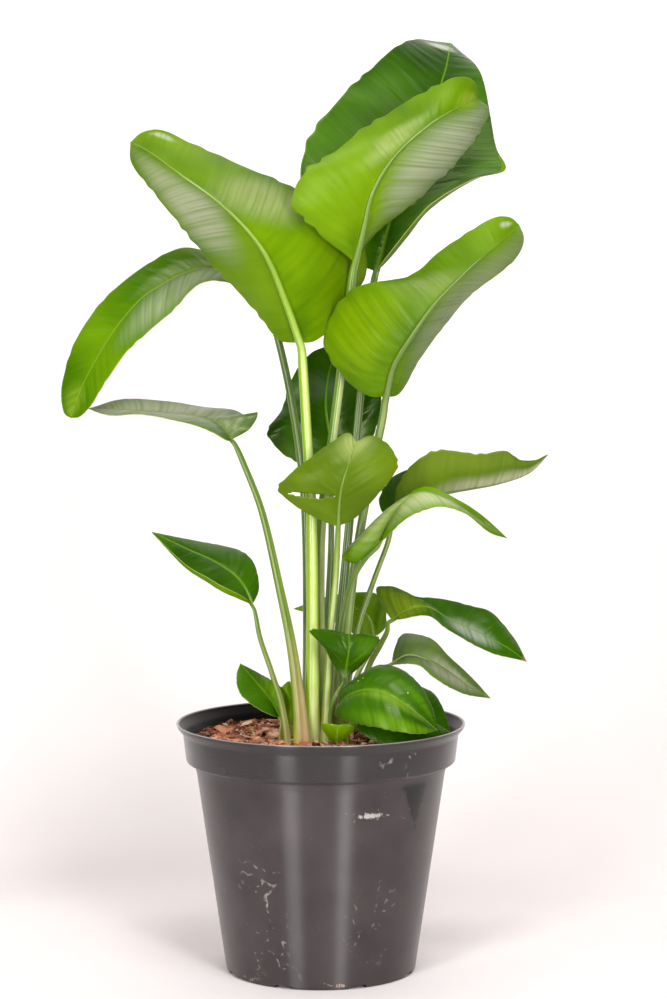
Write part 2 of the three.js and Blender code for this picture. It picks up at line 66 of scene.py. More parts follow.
FOOT_RADIUS = 82 * MM


def srgb(code):
    """A linear colour from an sRGB hex code."""
    channels = [int(code[i:i + 2], 16) / 255 for i in (0, 2, 4)]
    linear = [c / 12.92 if c <= 0.04045 else ((c + 0.055) / 1.055) ** 2.4 for c in channels]
    return (*linear, 1.0)


def per_metre(spacing):
    """The Scale of a pattern whose marks are this many mm apart."""
    return 1 / (spacing * MM)


def add_node(tree, kind, inputs=None, stops=None, **settings):
    """Adds a node. An input is a value, an output of another node, or another node, which gives its first
    output in use. Map Range has its range in inputs 1 and 2, and what that becomes in 3 and 4. Mix has its
    share in 0 and its two colours in 6 and 7. Stops are the places and colours of a ramp."""
    added = tree.nodes.new("ShaderNode" + kind)
    for name, value in settings.items():
        setattr(added, name, value)
    for name, value in (inputs or {}).items():
        if isinstance(value, bpy.types.Node):
            value = next(output for output in value.outputs if output.enabled)
        if isinstance(value, bpy.types.NodeSocket):
            tree.links.new(value, added.inputs[name])
        else:
            added.inputs[name].default_value = value
    if stops:
        ramp = added.color_ramp.elements
        while len(ramp) < len(stops):
            ramp.new(1.0)
        for stop, (place, colour) in zip(ramp, stops):
            stop.position = place
            stop.color = colour
    return added


def new_material(name):
    made = bpy.data.materials.new(name)
    made.use_nodes = True
    made.node_tree.nodes.clear()
    return made, made.node_tree


def new_piece(name, mesh, materials):
    piece = bpy.data.objects.new(name, mesh)
    bpy.context.scene.collection.objects.link(piece)
    for material in materials:
        mesh.materials.append(material)
    return piece


def settle(piece):
    """Makes what the modifiers give the piece's own mesh."""
    shown = piece.evaluated_get(bpy.context.evaluated_depsgraph_get())
    piece.data = bpy.data.meshes.new_from_object(shown)
    piece.modifiers.clear()


# Heights between which the wall's finish turns into the band's, and the painted highlight on top of the lip
# sets in.
BAND_FROM = (182 * MM, 185 * MM)
LIP_HIGHLIGHT_FROM = (215.1 * MM, 215.7 * MM)
# Scuffs on the outside of the wall: centre and half size in mm, how much of each is marked, and its colour.
POT_SCUFFS = [
    ((43, -95, 152), (26, 18, 5.0), 0.68, "bcb4b0"),
    ((-54, -85, 84), (20, 24, 36), 0.28, "9a918e"),
    ((-46, -75, 50), (20, 24, 34), 0.31, "9a918e"),
    ((-45, -64, 12), (30, 24, 14), 0.42, "a08c84"),
    ((46, -78, 58), (24, 24, 34), 0.29, "8e8684"),
    ((70, -95, 194), (22, 22, 10), 0.40, "b0a8a4"),
    ((16, -80, 4), (14, 12, 5), 0.52, "c0a088"),
    ((-52, -62, 5), (24, 12, 5), 0.46, "b09478"),
]
# A dark reflection painted on the front of the wall: its lower point, its height, its half width at the
# point and at the top, how ragged its sides are, and the heights between which it ends under the step.
DARK_REFLECTION_POINT = (79.5 * MM, -68 * MM, 128 * MM)
DARK_REFLECTION_HEIGHT = 44 * MM
DARK_REFLECTION_HALF_WIDTH = (0.5 * MM, 11 * MM)
DARK_REFLECTION_RAGGED = 6 * MM
DARK_REFLECTION_BELOW = (172 * MM, 178 * MM)


def moulded_polypropylene(name, gloss, faded, unfaded, roughness, scuffs=()):
    """Black polypropylene as moulded. The fine turning marks of the mould run round the pot and draw every
    highlight out into an upright streak. Handling has left dust, hair scratches and pale scuffs where the
    list says. A pointed dark patch is painted on as a reflection, and the top of the lip is painted pale as
    a highlight."""
    material, tree = new_material(name)
    spot = add_node(tree, "TexCoord").outputs["Object"]
    height = add_node(tree, "SeparateXYZ", {0: spot}).outputs["Z"]
    # It has faded in clouds, and specks of dust lie on it in drifts.
    cloud = add_node(tree, "TexNoise", {"Vector": spot, "Scale": per_metre(35.7), "Detail": 3.0})
    colour = add_node(tree, "ValToRGB", {"Fac": cloud}, [(0.3, srgb(unfaded)), (0.7, srgb(faded))])
    dust = add_node(tree, "TexVoronoi", {"Vector": spot, "Scale": per_metre(3.846), "Randomness": 1.0})
    drift = add_node(tree, "TexNoise", {"Vector": spot, "Scale": per_metre(16.67), "Detail": 2.0})
    speck_size = add_node(tree, "MapRange", {"Value": drift, 1: 0.5, 2: 0.78, 3: 0.0, 4: 0.17})
    speck = add_node(tree, "Math", {0: dust, 1: speck_size}, operation="LESS_THAN")
    dusted = add_node(tree, "Math", {0: speck, 1: 0.3}, operation="MULTIPLY")
    # The band is glossier and painted darker than the wall, and the top of the lip is painted pale as a
    # highlight.
    on_band = add_node(tree, "MapRange", {"Value": height, 1: BAND_FROM[0], 2: BAND_FROM[1]})
    darker_band = add_node(tree, "Math", {0: on_band, 1: 0.7}, operation="MULTIPLY")
    painted_lip_highlight = add_node(tree, "MapRange", {"Value": height, 1: LIP_HIGHLIGHT_FROM[0], 2: LIP_HIGHLIGHT_FROM[1], 3: 0.0, 4: 0.7})
    layers = [(dusted, "a8a09a"), (darker_band, "171415"), (painted_lip_highlight, "9a9493")]
    # Hair scratches follow the level lines of a slow noise and are broken up by a quick one.
    wander = add_node(tree, "TexNoise", {"Vector": spot, "Scale": per_metre(29.41), "Detail": 2.0})
    on_line = add_node(tree, "Math", {0: wander, 1: 0.5, 2: 0.012}, operation="COMPARE")
    broken = add_node(tree, "TexNoise", {"Vector": spot, "Scale": per_metre(4.762), "Detail": 2.0})
    unbroken = add_node(tree, "MapRange", {"Value": broken, 1: 0.5, 2: 0.62, 3: 0.0, 4: 0.5})
    hair = add_node(tree, "Math", {0: on_line, 1: unbroken}, operation="MULTIPLY")
    # A scuff is a bundle of short upright rubs, 1.6 mm apart and 8 mm long.
    rub_size = [per_metre(size) for size in (1.613, 1.613, 7.692)]
    rub_spot = add_node(tree, "Mapping", {"Vector": spot, "Rotation": (0.3, 0.5, 0.2), "Scale": rub_size})
    rub = add_node(tree, "TexNoise", {"Vector": rub_spot, "Scale": 1.0, "Detail": 4.0, "Roughness": 0.7})
    for centre, half_size, share, tint in scuffs:
        away = add_node(tree, "VectorMath", {0: spot, 1: [c * MM for c in centre]}, operation="SUBTRACT")
        scaled = add_node(tree, "VectorMath", {0: away, 1: [s * MM for s in half_size]}, operation="DIVIDE")
        distance = add_node(tree, "VectorMath", {0: scaled}, operation="LENGTH")
        fade = add_node(tree, "MapRange", {"Value": distance, 1: 0.2, 2: 1.0, 3: share, 4: 0.0})
        level = add_node(tree, "Math", {0: rub, 1: fade}, operation="ADD")
        rubbed = add_node(tree, "MapRange", {"Value": level, 1: 0.94, 2: 1.1, 3: 0.0, 4: 0.75})
        nearby = add_node(tree, "MapRange", {"Value": distance, 1: 0.8, 2: 1.3, 3: 1.0, 4: 0.0})
        hairs = add_node(tree, "Math", {0: hair, 1: nearby}, operation="MULTIPLY")
        layers.append((add_node(tree, "Math", {0: rubbed, 1: hairs}, operation="MAXIMUM"), tint))
    # Under the step on the right a pointed dark patch is painted on, as a painted reflection.
    from_point = add_node(tree, "VectorMath", {0: spot, 1: DARK_REFLECTION_POINT}, operation="SUBTRACT")
    off_point = add_node(tree, "SeparateXYZ", {0: from_point}).outputs
    aside = add_node(tree, "Math", {0: off_point["X"]}, operation="ABSOLUTE")
    half_wide = add_node(tree, "MapRange", {
        "Value": off_point["Z"], 1: 0.0, 2: DARK_REFLECTION_HEIGHT, 3: DARK_REFLECTION_HALF_WIDTH[0], 4: DARK_REFLECTION_HALF_WIDTH[1],
    })
    ragged = add_node(tree, "Math", {0: broken, 1: DARK_REFLECTION_RAGGED, 2: aside}, operation="MULTIPLY_ADD")
    beyond = add_node(tree, "Math", {0: ragged, 1: half_wide}, operation="DIVIDE")
    painted_reflection = add_node(tree, "MapRange", {"Value": beyond, 1: 1.0, 2: 1.25, 3: 1.0, 4: 0.0})
    below = add_node(tree, "MapRange", {
        "Value": height, 1: DARK_REFLECTION_BELOW[0], 2: DARK_REFLECTION_BELOW[1], 3: 1.0, 4: 0.0,
    })
    on_front = add_node(tree, "Math", {0: off_point["Y"], 1: 60 * MM}, operation="LESS_THAN")
    for limit in (below, on_front):
        painted_reflection = add_node(tree, "Math", {0: painted_reflection, 1: limit}, operation="MULTIPLY")
    layers.append((painted_reflection, "030202"))
    for share, tint in layers:
        colour = add_node(tree, "Mix", {0: share, 6: colour, 7: srgb(tint)}, data_type="RGBA")
    smudge = add_node(tree, "TexNoise", {
        "Vector": spot, "Scale": per_metre(111.1), "Detail": 5.0, "Roughness": 0.6,
    })
    rough = add_node(tree, "MapRange", {"Value": smudge, 1: 0.3, 2: 0.7, 3: roughness, 4: roughness + 0.08})
    rough = add_node(tree, "Math", {0: on_band, 1: -0.1, 2: rough}, operation="MULTIPLY_ADD")
    grain = add_node(tree, "TexNoise", {"Vector": spot, "Scale": per_metre(0.625), "Detail": 2.0})
    bump = add_node(tree, "Bump", {"Height": grain, "Strength": 0.15, "Distance": 0.1 * MM})
    upright = add_node(tree, "CombineXYZ", {0: 0.0, 1: 0.0, 2: 1.0})
    surface = add_node(tree, "BsdfPrincipled", {
        "Base Color": colour, "Roughness": rough, "Normal": bump, "IOR": 1.5, "Specular IOR Level": gloss,
        "Anisotropic": 1.0, "Tangent": upright,
    })
    add_node(tree, "OutputMaterial", {"Surface": surface})
    return material


def turn_profile(shape, corners, steps):
    """Spins a line of corners (radius, height, ..., in mm) round the upright axis into a closed shell."""
    line = [shape.verts.new((corner[0] * MM, 0, corner[1] * MM)) for corner in corners]
    for start, end in zip(line, line[1:]):
        shape.edges.new((start, end))
    bmesh.ops.spin(
        shape, geom=shape.verts[:] + shape.edges[:], axis=(0, 0, 1), angle=2 * math.pi, steps=steps,
        use_merge=True,
    )
    bmesh.ops.remove_doubles(shape, verts=shape.verts[:], dist=0.01 * MM)
    bmesh.ops.recalc_face_normals(shape, faces=shape.faces[:])


def edges_of_ring(shape, radius, height):
    """The edges of a spun shell that lie at this radius and height."""
    def on_ring(vert):
        off_radius = abs(math.hypot(vert.co.x, vert.co.y) - radius)
        return off_radius < 0.01 * MM and abs(vert.co.z - height) < 0.01 * MM
    return [edge for edge in shape.edges if all(on_ring(vert) for vert in edge.verts)]


shell = bmesh.new()
turn_profile(shell, POT_CORNERS, POT_STEPS)
for radius, height, rounding in POT_CORNERS:
    if rounding:
        bmesh.ops.bevel(
            shell, geom=edges_of_ring(shell, radius * MM, height * MM), offset=rounding * MM,
            affect="EDGES", segments=ROUNDING_STEPS, profile=0.5, material=-1,
        )
pot_mesh = bpy.data.meshes.new("pot_shell")
shell.to_mesh(pot_mesh)
shell.free()

pot_outside = moulded_polypropylene(
    "polypropylene_moulded_handled", 0.6, "3b3334", "2c2627", 0.32, POT_SCUFFS,
)
# Inside, the plastic is unfaded and painted darker still, near black, as painted shade in the pot.
pot_inside = moulded_polypropylene("polypropylene_moulded_unfaded_painted_shade", 0.2, "0a0808", "060505", 0.5)
pot = new_piece("pot_shell", pot_mesh, [pot_outside, pot_inside])

drains = bmesh.new()
for i in range(DRAIN_COUNT):
    turn = Matrix.Rotation(2 * math.pi * (i + 0.5) / DRAIN_COUNT - math.pi / 2, 4, "Z")
    bmesh.ops.create_cone(
        drains, cap_ends=True, segments=32, radius1=DRAIN_RADIUS, radius2=DRAIN_RADIUS, depth=DRAIN_REACH,
        matrix=turn @ Matrix.Translation((DRAIN_CIRCLE, 0, 0)),
    )
    gap_size = Matrix.Diagonal((*DRAIN_GAP, 1))
    bmesh.ops.create_cube(drains, size=1, matrix=turn @ Matrix.Translation((FOOT_RADIUS, 0, 0)) @ gap_size)
drain_mesh = bpy.data.meshes.new("drain_cutter")
drains.to_mesh(drain_mesh)
drains.free()
cutter = new_piece("drain_cutter", drain_mesh, [])
drilling = pot.modifiers.new("drains", "BOOLEAN")
drilling.operation = "DIFFERENCE"
drilling.solver = "EXACT"
drilling.object = cutter
settle(pot)
bpy.data.objects.remove(cutter)
for face in pot.data.polygons:
    faces_inward = face.normal.xy.dot(face.center.xy) < 0
    face.material_index = 1 if faces_inward else 0
pot.data.shade_smooth()
pot.data.set_sharp_from_angle(angle=math.radians(SHARP_FROM))
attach(pot, "root")
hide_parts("pot")


# ---------------------------------------------------------------------------
# Potting mix: composted bark chips and fibre, filled to about 15 mm below the
# rim and lightly pressed. A dark fine bed fills the pot, and loose chips of
# reddish-brown bark lie over it in a layer two or three chips deep.
# ---------------------------------------------------------------------------

# In mm.
MIX_EDGE_HEIGHT = 200
MIX_MIDDLE_HEIGHT = 203
MIX_EDGE_RADIUS = 115.2
CHIP_LENGTHS = [4, 5, 6, 8, 10, 13, 17]
FIBRE_RADII = (0.35, 0.2)
SCATTER_RADIUS = 112
STALK_CLEARANCE = 1.5
# Radius and height of the bed's corners, from the middle of the pot's floor to the edge of its top.
BED_CORNERS = [(0, 6.4), (79, 6.4), (105, 177), (113.5, 187)]
# Where each leaf's stalk stands in the mix, and how wide its foot is there.
STALK_FEET = {
    "top_back": (8, 14, 10), "top_front": (1, -4, 11), "upper_left": (-7, -18, 15),
    "upper_right": (15, 0, 10), "far_left": (-12, 6, 9), "mid_left": (-16, -31, 15),
    "small_left": (-28, -38, 6), "behind_centre": (2, 24, 8), "front_centre": (4, -30, 8),
    "mid_right_upper": (19, 12, 7), "mid_right_lower": (11, -15, 7),
    "low_right": (25, -3, 6.5), "lowest_right": (28, 9, 6), "small_centre": (9, -45, 4.5),
    "front_low_right": (23, -27, 6), "under_right": (22, -47, 5), "tiny_front": (12, -54, 4),
    "base_left": (-34, -28, 5), "base_left_young": (-25, -12, 5), "behind_low": (16, 33, 6),
}
# Counts and shares.
BED_STEPS = 144  # facets round the bed
BED_RINGS = 45
BED_SHADE = 0.5
CHIP_COUNT = 950
FIBRE_COUNT = 700


def mix_height(x, y):
    """Height of the top of the bed in mm, at a place in mm."""
    out = math.hypot(x, y) / MIX_EDGE_RADIUS
    swell = MIX_EDGE_HEIGHT + (MIX_MIDDLE_HEIGHT - MIX_EDGE_HEIGHT) * (1 - out * out)
    return swell + 2.2 * noise.noise((x / 17, y / 17, 0.3)) + 1.1 * noise.noise((x / 6, y / 6, 2.1))


def composted_bark(name, tones, spacing):
    """Bark that has been composted: matt and fibrous, with strands this many mm apart. Each chip has its
    own shade between pale wood and black."""
    material, tree = new_material(name)
    spot = add_node(tree, "TexCoord").outputs["Object"]
    tone = add_node(tree, "Attribute", attribute_name="shade", attribute_type="GEOMETRY").outputs["Fac"]
    strand_spot = add_node(tree, "Mapping", {
        "Vector": spot, "Rotation": (0.4, 0.2, 0.7), "Scale": (1, 5, 3),
    })
    strands = add_node(tree, "TexNoise", {
        "Vector": strand_spot, "Scale": per_metre(spacing), "Detail": 4.0, "Roughness": 0.65,
    })
    streaks = add_node(tree, "Math", {0: strands, 1: 0.55, 2: -0.275}, operation="MULTIPLY_ADD")
    shade = add_node(tree, "Math", {0: tone, 1: streaks}, operation="ADD", use_clamp=True)
    colour = add_node(tree, "ValToRGB", {"Fac": shade}, tones)
    bump = add_node(tree, "Bump", {"Height": strands, "Strength": 0.8, "Distance": 0.8 * MM})
    surface = add_node(tree, "BsdfPrincipled", {
        "Base Color": colour, "Roughness": 0.88, "Normal": bump, "IOR": 1.4,
    })
    add_node(tree, "OutputMaterial", {"Surface": surface})
    return material


chip_bark = composted_bark("bark_chips_composted", [
    (0.0, srgb("22150e")), (0.2, srgb("62392a")), (0.42, srgb("a2603f")), (0.7, srgb("c58663")),
    (1.0, srgb("ecc8aa")),
], 3.0)
bed_bark = composted_bark("bark_fines_composted", [
    (0.0, srgb("120b08")), (0.5, srgb("2f1d15")), (1.0, srgb("5a3826")),
], 2.0)

bed = bmesh.new()
bed_rings = [(MIX_EDGE_RADIUS * (1 - i / BED_RINGS), MIX_EDGE_HEIGHT) for i in range(BED_RINGS)]
turn_profile(bed, [*BED_CORNERS, *bed_rings, (0, MIX_MIDDLE_HEIGHT)], BED_STEPS)
bed_shade = bed.verts.layers.float.new("shade")
for vert in bed.verts:
    vert[bed_shade] = BED_SHADE
    if vert.co.z > (MIX_EDGE_HEIGHT - 1) * MM:
        vert.co.z = mix_height(vert.co.x / MM, vert.co.y / MM) * MM
bed_mesh = bpy.data.meshes.new("potting_mix_bed")
bed.to_mesh(bed_mesh)
bed.free()
bed_mesh.shade_smooth()
mix_bed = new_piece("potting_mix_bed", bed_mesh, [bed_bark])
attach(mix_bed, "root")
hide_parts("potting_mix")

scatter = random.Random(7)


def spot_on_mix(clearance):
    """A free place on the mix in mm, clear of the pot's wall and of the stalks."""
    while True:
        x = scatter.uniform(-SCATTER_RADIUS, SCATTER_RADIUS)
        y = scatter.uniform(-SCATTER_RADIUS, SCATTER_RADIUS)
        clear_of_wall = math.hypot(x, y) < SCATTER_RADIUS - clearance
        clear_of_stalks = all(
            math.hypot(x - foot_x, y - foot_y) > wide / 2 + STALK_CLEARANCE
            for foot_x, foot_y, wide in STALK_FEET.values()
        )
        if clear_of_wall and clear_of_stalks:
            return x, y


chips = bmesh.new()
chip_shade = chips.verts.layers.float.new("shade")
for i in range(CHIP_COUNT):
    length = scatter.choice(CHIP_LENGTHS) * scatter.uniform(0.8, 1.2)
    size = (length / 2, length * scatter.uniform(0.2, 0.42), length * scatter.uniform(0.09, 0.2))
    x, y = spot_on_mix(length / 2)
    lift = scatter.uniform(-0.3, 2.6)
    lie = Euler((scatter.gauss(0, 0.3), scatter.gauss(0, 0.3), scatter.uniform(0, 2 * math.pi)))
    place = Matrix.Translation((x * MM, y * MM, (mix_height(x, y) + lift) * MM)) @ lie.to_matrix().to_4x4()
    chip = bmesh.ops.create_icosphere(
        chips, subdivisions=1, radius=1, matrix=place @ Matrix.Diagonal((*[s * MM for s in size], 1)),
    )["verts"]
    shade = min(1, max(0, scatter.gauss(0.5, 0.32)))
    for vert in chip:
        vert.co += Vector([scatter.uniform(-1, 1) for _ in range(3)]) * length * 0.12 * MM
        vert[chip_shade] = shade
chip_mesh = bpy.data.meshes.new("bark_chips")
chips.to_mesh(chip_mesh)
chips.free()
bark_chips = new_piece("bark_chips", chip_mesh, [chip_bark])
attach(bark_chips, "root")

fibres = bmesh.new()
fibre_shade = fibres.verts.layers.float.new("shade")
for i in range(FIBRE_COUNT):
    length = scatter.uniform(7, 20)
    x, y = spot_on_mix(length / 2)
    bow = scatter.uniform(-0.35, 0.35)
    tilt = (scatter.gauss(0, 0.25), math.pi / 2 + scatter.gauss(0, 0.25))
    lie = Euler((*tilt, scatter.uniform(0, 2 * math.pi))).to_matrix().to_4x4()
    place = Matrix.Translation((x * MM, y * MM, (mix_height(x, y) + scatter.uniform(1.0, 3.0)) * MM))
    made_before = len(fibres.verts)
    bmesh.ops.create_cone(
        fibres, cap_ends=True, segments=4, radius1=FIBRE_RADII[0] * MM, radius2=FIBRE_RADII[1] * MM,
        depth=length * MM,
    )
    fibres.verts.ensure_lookup_table()
    sides = {edge for vert in fibres.verts[made_before:] for edge in vert.link_edges}
    lengthwise = [edge for edge in sides if abs(edge.verts[0].co.z - edge.verts[1].co.z) > length * MM / 2]
    bmesh.ops.subdivide_edges(fibres, edges=lengthwise, cuts=4)
    fibres.verts.ensure_lookup_table()
    strand = fibres.verts[made_before:]
    for vert in strand:
        vert.co.x += bow * length * MM * (0.25 - (vert.co.z / (length * MM)) ** 2)
        vert[fibre_shade] = 0.25 + 0.6 * (i % 7) / 7
    bmesh.ops.transform(fibres, matrix=place @ lie, verts=strand)
fibre_mesh = bpy.data.meshes.new("bark_fibres")
fibres.to_mesh(fibre_mesh)
fibres.free()
fibre_mesh.shade_smooth()
bark_fibres = new_piece("bark_fibres", fibre_mesh, [chip_bark])
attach(bark_fibres, "root")


# ---------------------------------------------------------------------------
# Leaves: each is one growth, a stalk that stands in the mix and runs on as
# the midrib of its blade. The stalk is a waxy rod with a channel along its
# upper side and widens into a pale sheath at its foot.
# ---------------------------------------------------------------------------

# In mm.
PLANTING_DEPTH = 13
COLLAR_HEIGHT = 3  # how far above the mix's edge a stalk still stands straight
BLADE_THICKNESS = 0.62
STEM_END = 4.4  # how far before the blade the stalk already has the midrib's direction
JOINT_BELOW = 22  # how far before the blade the stalk starts to turn into the midrib
JOINT_LENGTH = 34
# Shares and counts.
LINE_STEPS = 40  # between two given points of a line
STALK_SIDES = 24
FOLD_SHARE = 0.72  # how far across its half a blade's turned-over edge starts
FOLD_SHIFTS = (-0.12, -0.06, 0, 0.06, 0.12)  # a fold is the average of sharp ones, shifted by these
VEIN_LEAN = 0.6  # how far a side vein runs towards the tip for each mm away from the midrib
MIDRIB_END = 0.985  # how far along the blade the midrib stands out
MIDRIB_SINK = 0.35  # how deep it sinks into the blade, in its own radii
MIDRIB_FLAT = 0.05  # how far its side in the blade is pressed in
CHANNEL_DEPTH = 0.4  # depth and half width of the stalk's channel, in its own radii
CHANNEL_HALF_WIDTH = 0.42
SHEATH_DEPTH = 0.25  # how much of its widening a sheath has from back to front


def hermite(start, end, leave, arrive, t):
    """A smooth step from start to end, with these slopes at its ends."""
    turn = (2 * t ** 3 - 3 * t ** 2 + 1) * start + (3 * t ** 2 - 2 * t ** 3) * end
    return turn + (t ** 3 - 2 * t ** 2 + t) * leave + (t ** 3 - t ** 2) * arrive


def smooth_line(points):
    """Many points on the smooth line through these few."""
    points = np.array(points, float)
    passed = np.vstack([2 * points[0] - points[1], points, 2 * points[-1] - points[-2]])
    gaps = np.sqrt(np.linalg.norm(np.diff(passed, axis=0), axis=1))
    t = np.linspace(0, 1, LINE_STEPS, endpoint=False)[:, None]
    line = []
    for i in range(1, len(passed) - 2):
        before, start, end, after = passed[i - 1:i + 3]
        gap_before, gap, gap_after = gaps[i - 1:i + 2]
        leave = (start - before) / gap_before - (end - before) / (gap_before + gap) + (end - start) / gap
        arrive = (end - start) / gap - (after - start) / (gap + gap_after) + (after - end) / gap_after
        line.append(hermite(start, end, leave * gap, arrive * gap, t))
    return np.vstack([*line, points[-1:]])


def unit(vectors):
    return vectors / np.linalg.norm(vectors, axis=-1, keepdims=True)


def length_along(line):
    """How far along the line each of its points lies."""
    return np.concatenate([[0], np.cumsum(np.linalg.norm(np.diff(line, axis=0), axis=1))])


def follow(line, distance):
    """The points and directions at these distances along a line."""
    lengths = length_along(line)
    headings = unit(np.gradient(line, lengths, axis=0))
    at = np.stack([np.interp(distance, lengths, line[:, k]) for k in range(3)], axis=-1)
    heading = np.stack([np.interp(distance, lengths, headings[:, k]) for k in range(3)], axis=-1)
    return at, unit(heading)


def rib_radius(leaf, t):
    """Half the midrib's width, which thins out from the stalk to the tip."""
    return leaf["thick"][1] / 2 * (0.78 * (1 - t) ** 1.2 + 0.08)


def edge_at(leaf, side, t):
    """The points of one of a blade's edges, from the end of its stalk to its tip."""
    line = smooth_line([leaf["rib"][0], *leaf[side], leaf["rib"][-1]])
    return follow(line, t * length_along(line)[-1])[0]


def upward_at(leaf, t):
    """Which way the blade's shown side faces, at t along its midrib. Its ends are too narrow to tell."""
    t = np.clip(t, 0.12, 0.88)
    rib = smooth_line(leaf["rib"])
    forward = follow(rib, t * length_along(rib)[-1])[1]
    return unit(np.cross(edge_at(leaf, "right", t) - edge_at(leaf, "left", t), forward))


def half_places(leaf, side, outward, t):
    """The points of one half of a blade, before its relief. A turned edge bends round the fold and back."""
    rib = smooth_line(leaf["rib"])
    at = follow(rib, t * length_along(rib)[-1])[0]
    out = edge_at(leaf, side, t) - at
    width = np.linalg.norm(out, axis=-1)
    full_bulge = leaf["bulge"][0 if side == "left" else 1]
    turned = leaf.get("turned_" + side)
    if turned is None:
        places = at + out * outward[:, None]
    else:
        back = edge_at(leaf, "turned_" + side, t) - at - out
        places = np.zeros_like(at)
        for shift in FOLD_SHIFTS:
            share = np.clip(outward + shift * np.clip(6 * np.minimum(outward, 1 - outward), 0, 1), 0, 1)
            reached = np.clip(share / FOLD_SHARE, 0, 1)[:, None]
            folded = np.clip((share - FOLD_SHARE) / (1 - FOLD_SHARE), 0, 1)[:, None]
            places += (at + out * reached) / len(FOLD_SHIFTS)
            places += back * folded / len(FOLD_SHIFTS)
    arch = full_bulge * width * 4 * outward * (1 - outward)
    return places + upward_at(leaf, t) * arch[:, None], width


def blade_places(leaf, across, t):
    """Where the points of a blade lie, and how far each is from the midrib and along it, in mm."""
    outward = np.abs(across)
    on_left = across < 0
    # The edge goes in and out about eleven times, by leaf["scallop"] on a half that is 60 mm wide.
    scallop = 1 + leaf["scallop"] / 60 * np.sin(70 * t + 2 * np.sin(31 * t) + on_left) * outward ** 3
    outward = outward * np.where((t > 0.06) & (t < 0.94), scallop, 1)
    left, left_width = half_places(leaf, "left", outward, t)
    right, right_width = half_places(leaf, "right", outward, t)
    reach = outward * np.where(on_left, left_width, right_width)
    full = length_along(smooth_line(leaf["rib"]))[-1]
    places = np.where(on_left[:, None], left, right)
    places += upward_at(leaf, t) * relief(leaf, across, t, reach, t * full)[:, None]
    return places, np.stack([np.sign(across) * reach, t * full], axis=-1)


def relief(leaf, across, t, reach, along):
    """How far the blade stands off its plain shape, in mm: a wavy edge, slow swells, soft folds along the
    side veins, and the dip at the midrib. What along and reach are divided by is in mm too."""
    toss = random.Random(leaf["name"])
    shifts = np.array([toss.uniform(0, 6.28) for _ in range(6)])
    outward = np.abs(across)
    side_shift = np.where(across < 0, shifts[0], shifts[1])
    slow = np.sin(along / 31 + side_shift) + 0.6 * np.sin(along / 13.7 + 1.7 * side_shift)
    edge_wave = leaf["wave"] * outward ** 2.5 * slow * np.sin(np.pi * np.clip(t, 0, 1)) ** 0.5
    swell = 0.5 * leaf["wave"] * np.sin(along / 42 + shifts[2]) * np.sin(reach / 17 + side_shift) * outward
    drift = 5 * np.sin(along / 19 + shifts[3]) + 3 * np.sin(reach / 23 + shifts[4])
    phase = (along - VEIN_LEAN * reach + drift) / leaf["pleat"]
    ridge = np.cos(2 * np.pi * phase) + 0.6 * np.cos(2 * np.pi * phase * 1.63 + shifts[5])
    hold = np.clip(reach / 8, 0, 1) * np.clip((1 - outward) * 2, 0, 1) * np.clip(t * 12, 0, 1)
    pleats = leaf["depth"] * ridge * hold
    under = 1 if leaf["shows"] == "underside" else -1
    rib = rib_radius(leaf, t)
    dip = under * 0.35 * rib * np.exp(-(reach / (1.1 * rib)) ** 2)
    return edge_wave + swell + pleats + dip


def flat_sheet(name, across_count, along_count):
    """A flat sheet of faces as a mesh, and where its corners are, from -1 to 1 across and 0 to 1 along."""
    sheet = bmesh.new()
    bmesh.ops.create_grid(sheet, x_segments=across_count, y_segments=along_count, size=1)
    mesh = bpy.data.meshes.new(name)
    sheet.to_mesh(mesh)
    sheet.free()
    corners = np.empty(len(mesh.vertices) * 3)
    mesh.vertices.foreach_get("co", corners)
    across, along = corners.reshape(-1, 3)[:, 0], (corners.reshape(-1, 3)[:, 1] + 1) / 2
    return mesh, across, along


def lay_out(mesh, places, maps):
    """Moves the corners of a mesh to these places in mm, and gives it UV maps with these values there."""
    mesh.vertices.foreach_set("co", (places * MM).ravel())
    corner_of = np.empty(len(mesh.loops), np.int32)
    mesh.loops.foreach_get("vertex_index", corner_of)
    for map_name, values in maps.items():
        layer = mesh.uv_layers.new(name=map_name)
        layer.data.foreach_set("uv", values[corner_of].astype(np.float32).ravel())
    mesh.update()


def build_blade(leaf):
    """The blade, as a sheet with rows of faces that lie closer together towards both ends."""
    mesh, across, row = flat_sheet("blade_" + leaf["name"], *leaf["facets"])
    t = row - 0.08 * np.sin(2 * np.pi * row)
    places, span = blade_places(leaf, across, t)
    lay_out(mesh, places, {"span": span * MM, "share": np.stack([across, t], axis=-1)})
    if "tear" in leaf:
        tear_out(mesh, leaf["tear"])
    mesh.shade_smooth()
    under, upper = leaf["faces"]
    faces = [under, upper] if leaf["shows"] == "underside" else [upper, under]
    blade = new_piece("leaf_blade_" + leaf["name"], mesh, [*faces, cut_edge])
    sheet = blade.modifiers.new("sheet", "SOLIDIFY")
    sheet.thickness = BLADE_THICKNESS * MM
    sheet.offset = 0
    sheet.material_offset = 1
    sheet.material_offset_rim = 2
    settle(blade)
    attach(blade, "root")
    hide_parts("blade_" + leaf["name"])


def tear_out(mesh, tears):
    """Takes out the faces inside each ragged tear, given as middle and half size across and along."""
    sheet = bmesh.new()
    sheet.from_mesh(mesh)
    share = sheet.loops.layers.uv["share"]
    gone = []
    for face in sheet.faces:
        across = sum(loop[share].uv.x for loop in face.loops) / len(face.loops)
        t = sum(loop[share].uv.y for loop in face.loops) / len(face.loops)
        for middle_across, middle_t, half_across, half_t in tears:
            away = ((across - middle_across) / half_across) ** 2 + ((t - middle_t) / half_t) ** 2
            if away < 1 + 0.5 * noise.noise((across * 14, t * 60, 0.5)):
                gone.append(face)
                break
    bmesh.ops.delete(sheet, geom=gone, context="FACES")
    sheet.to_mesh(mesh)
    sheet.free()


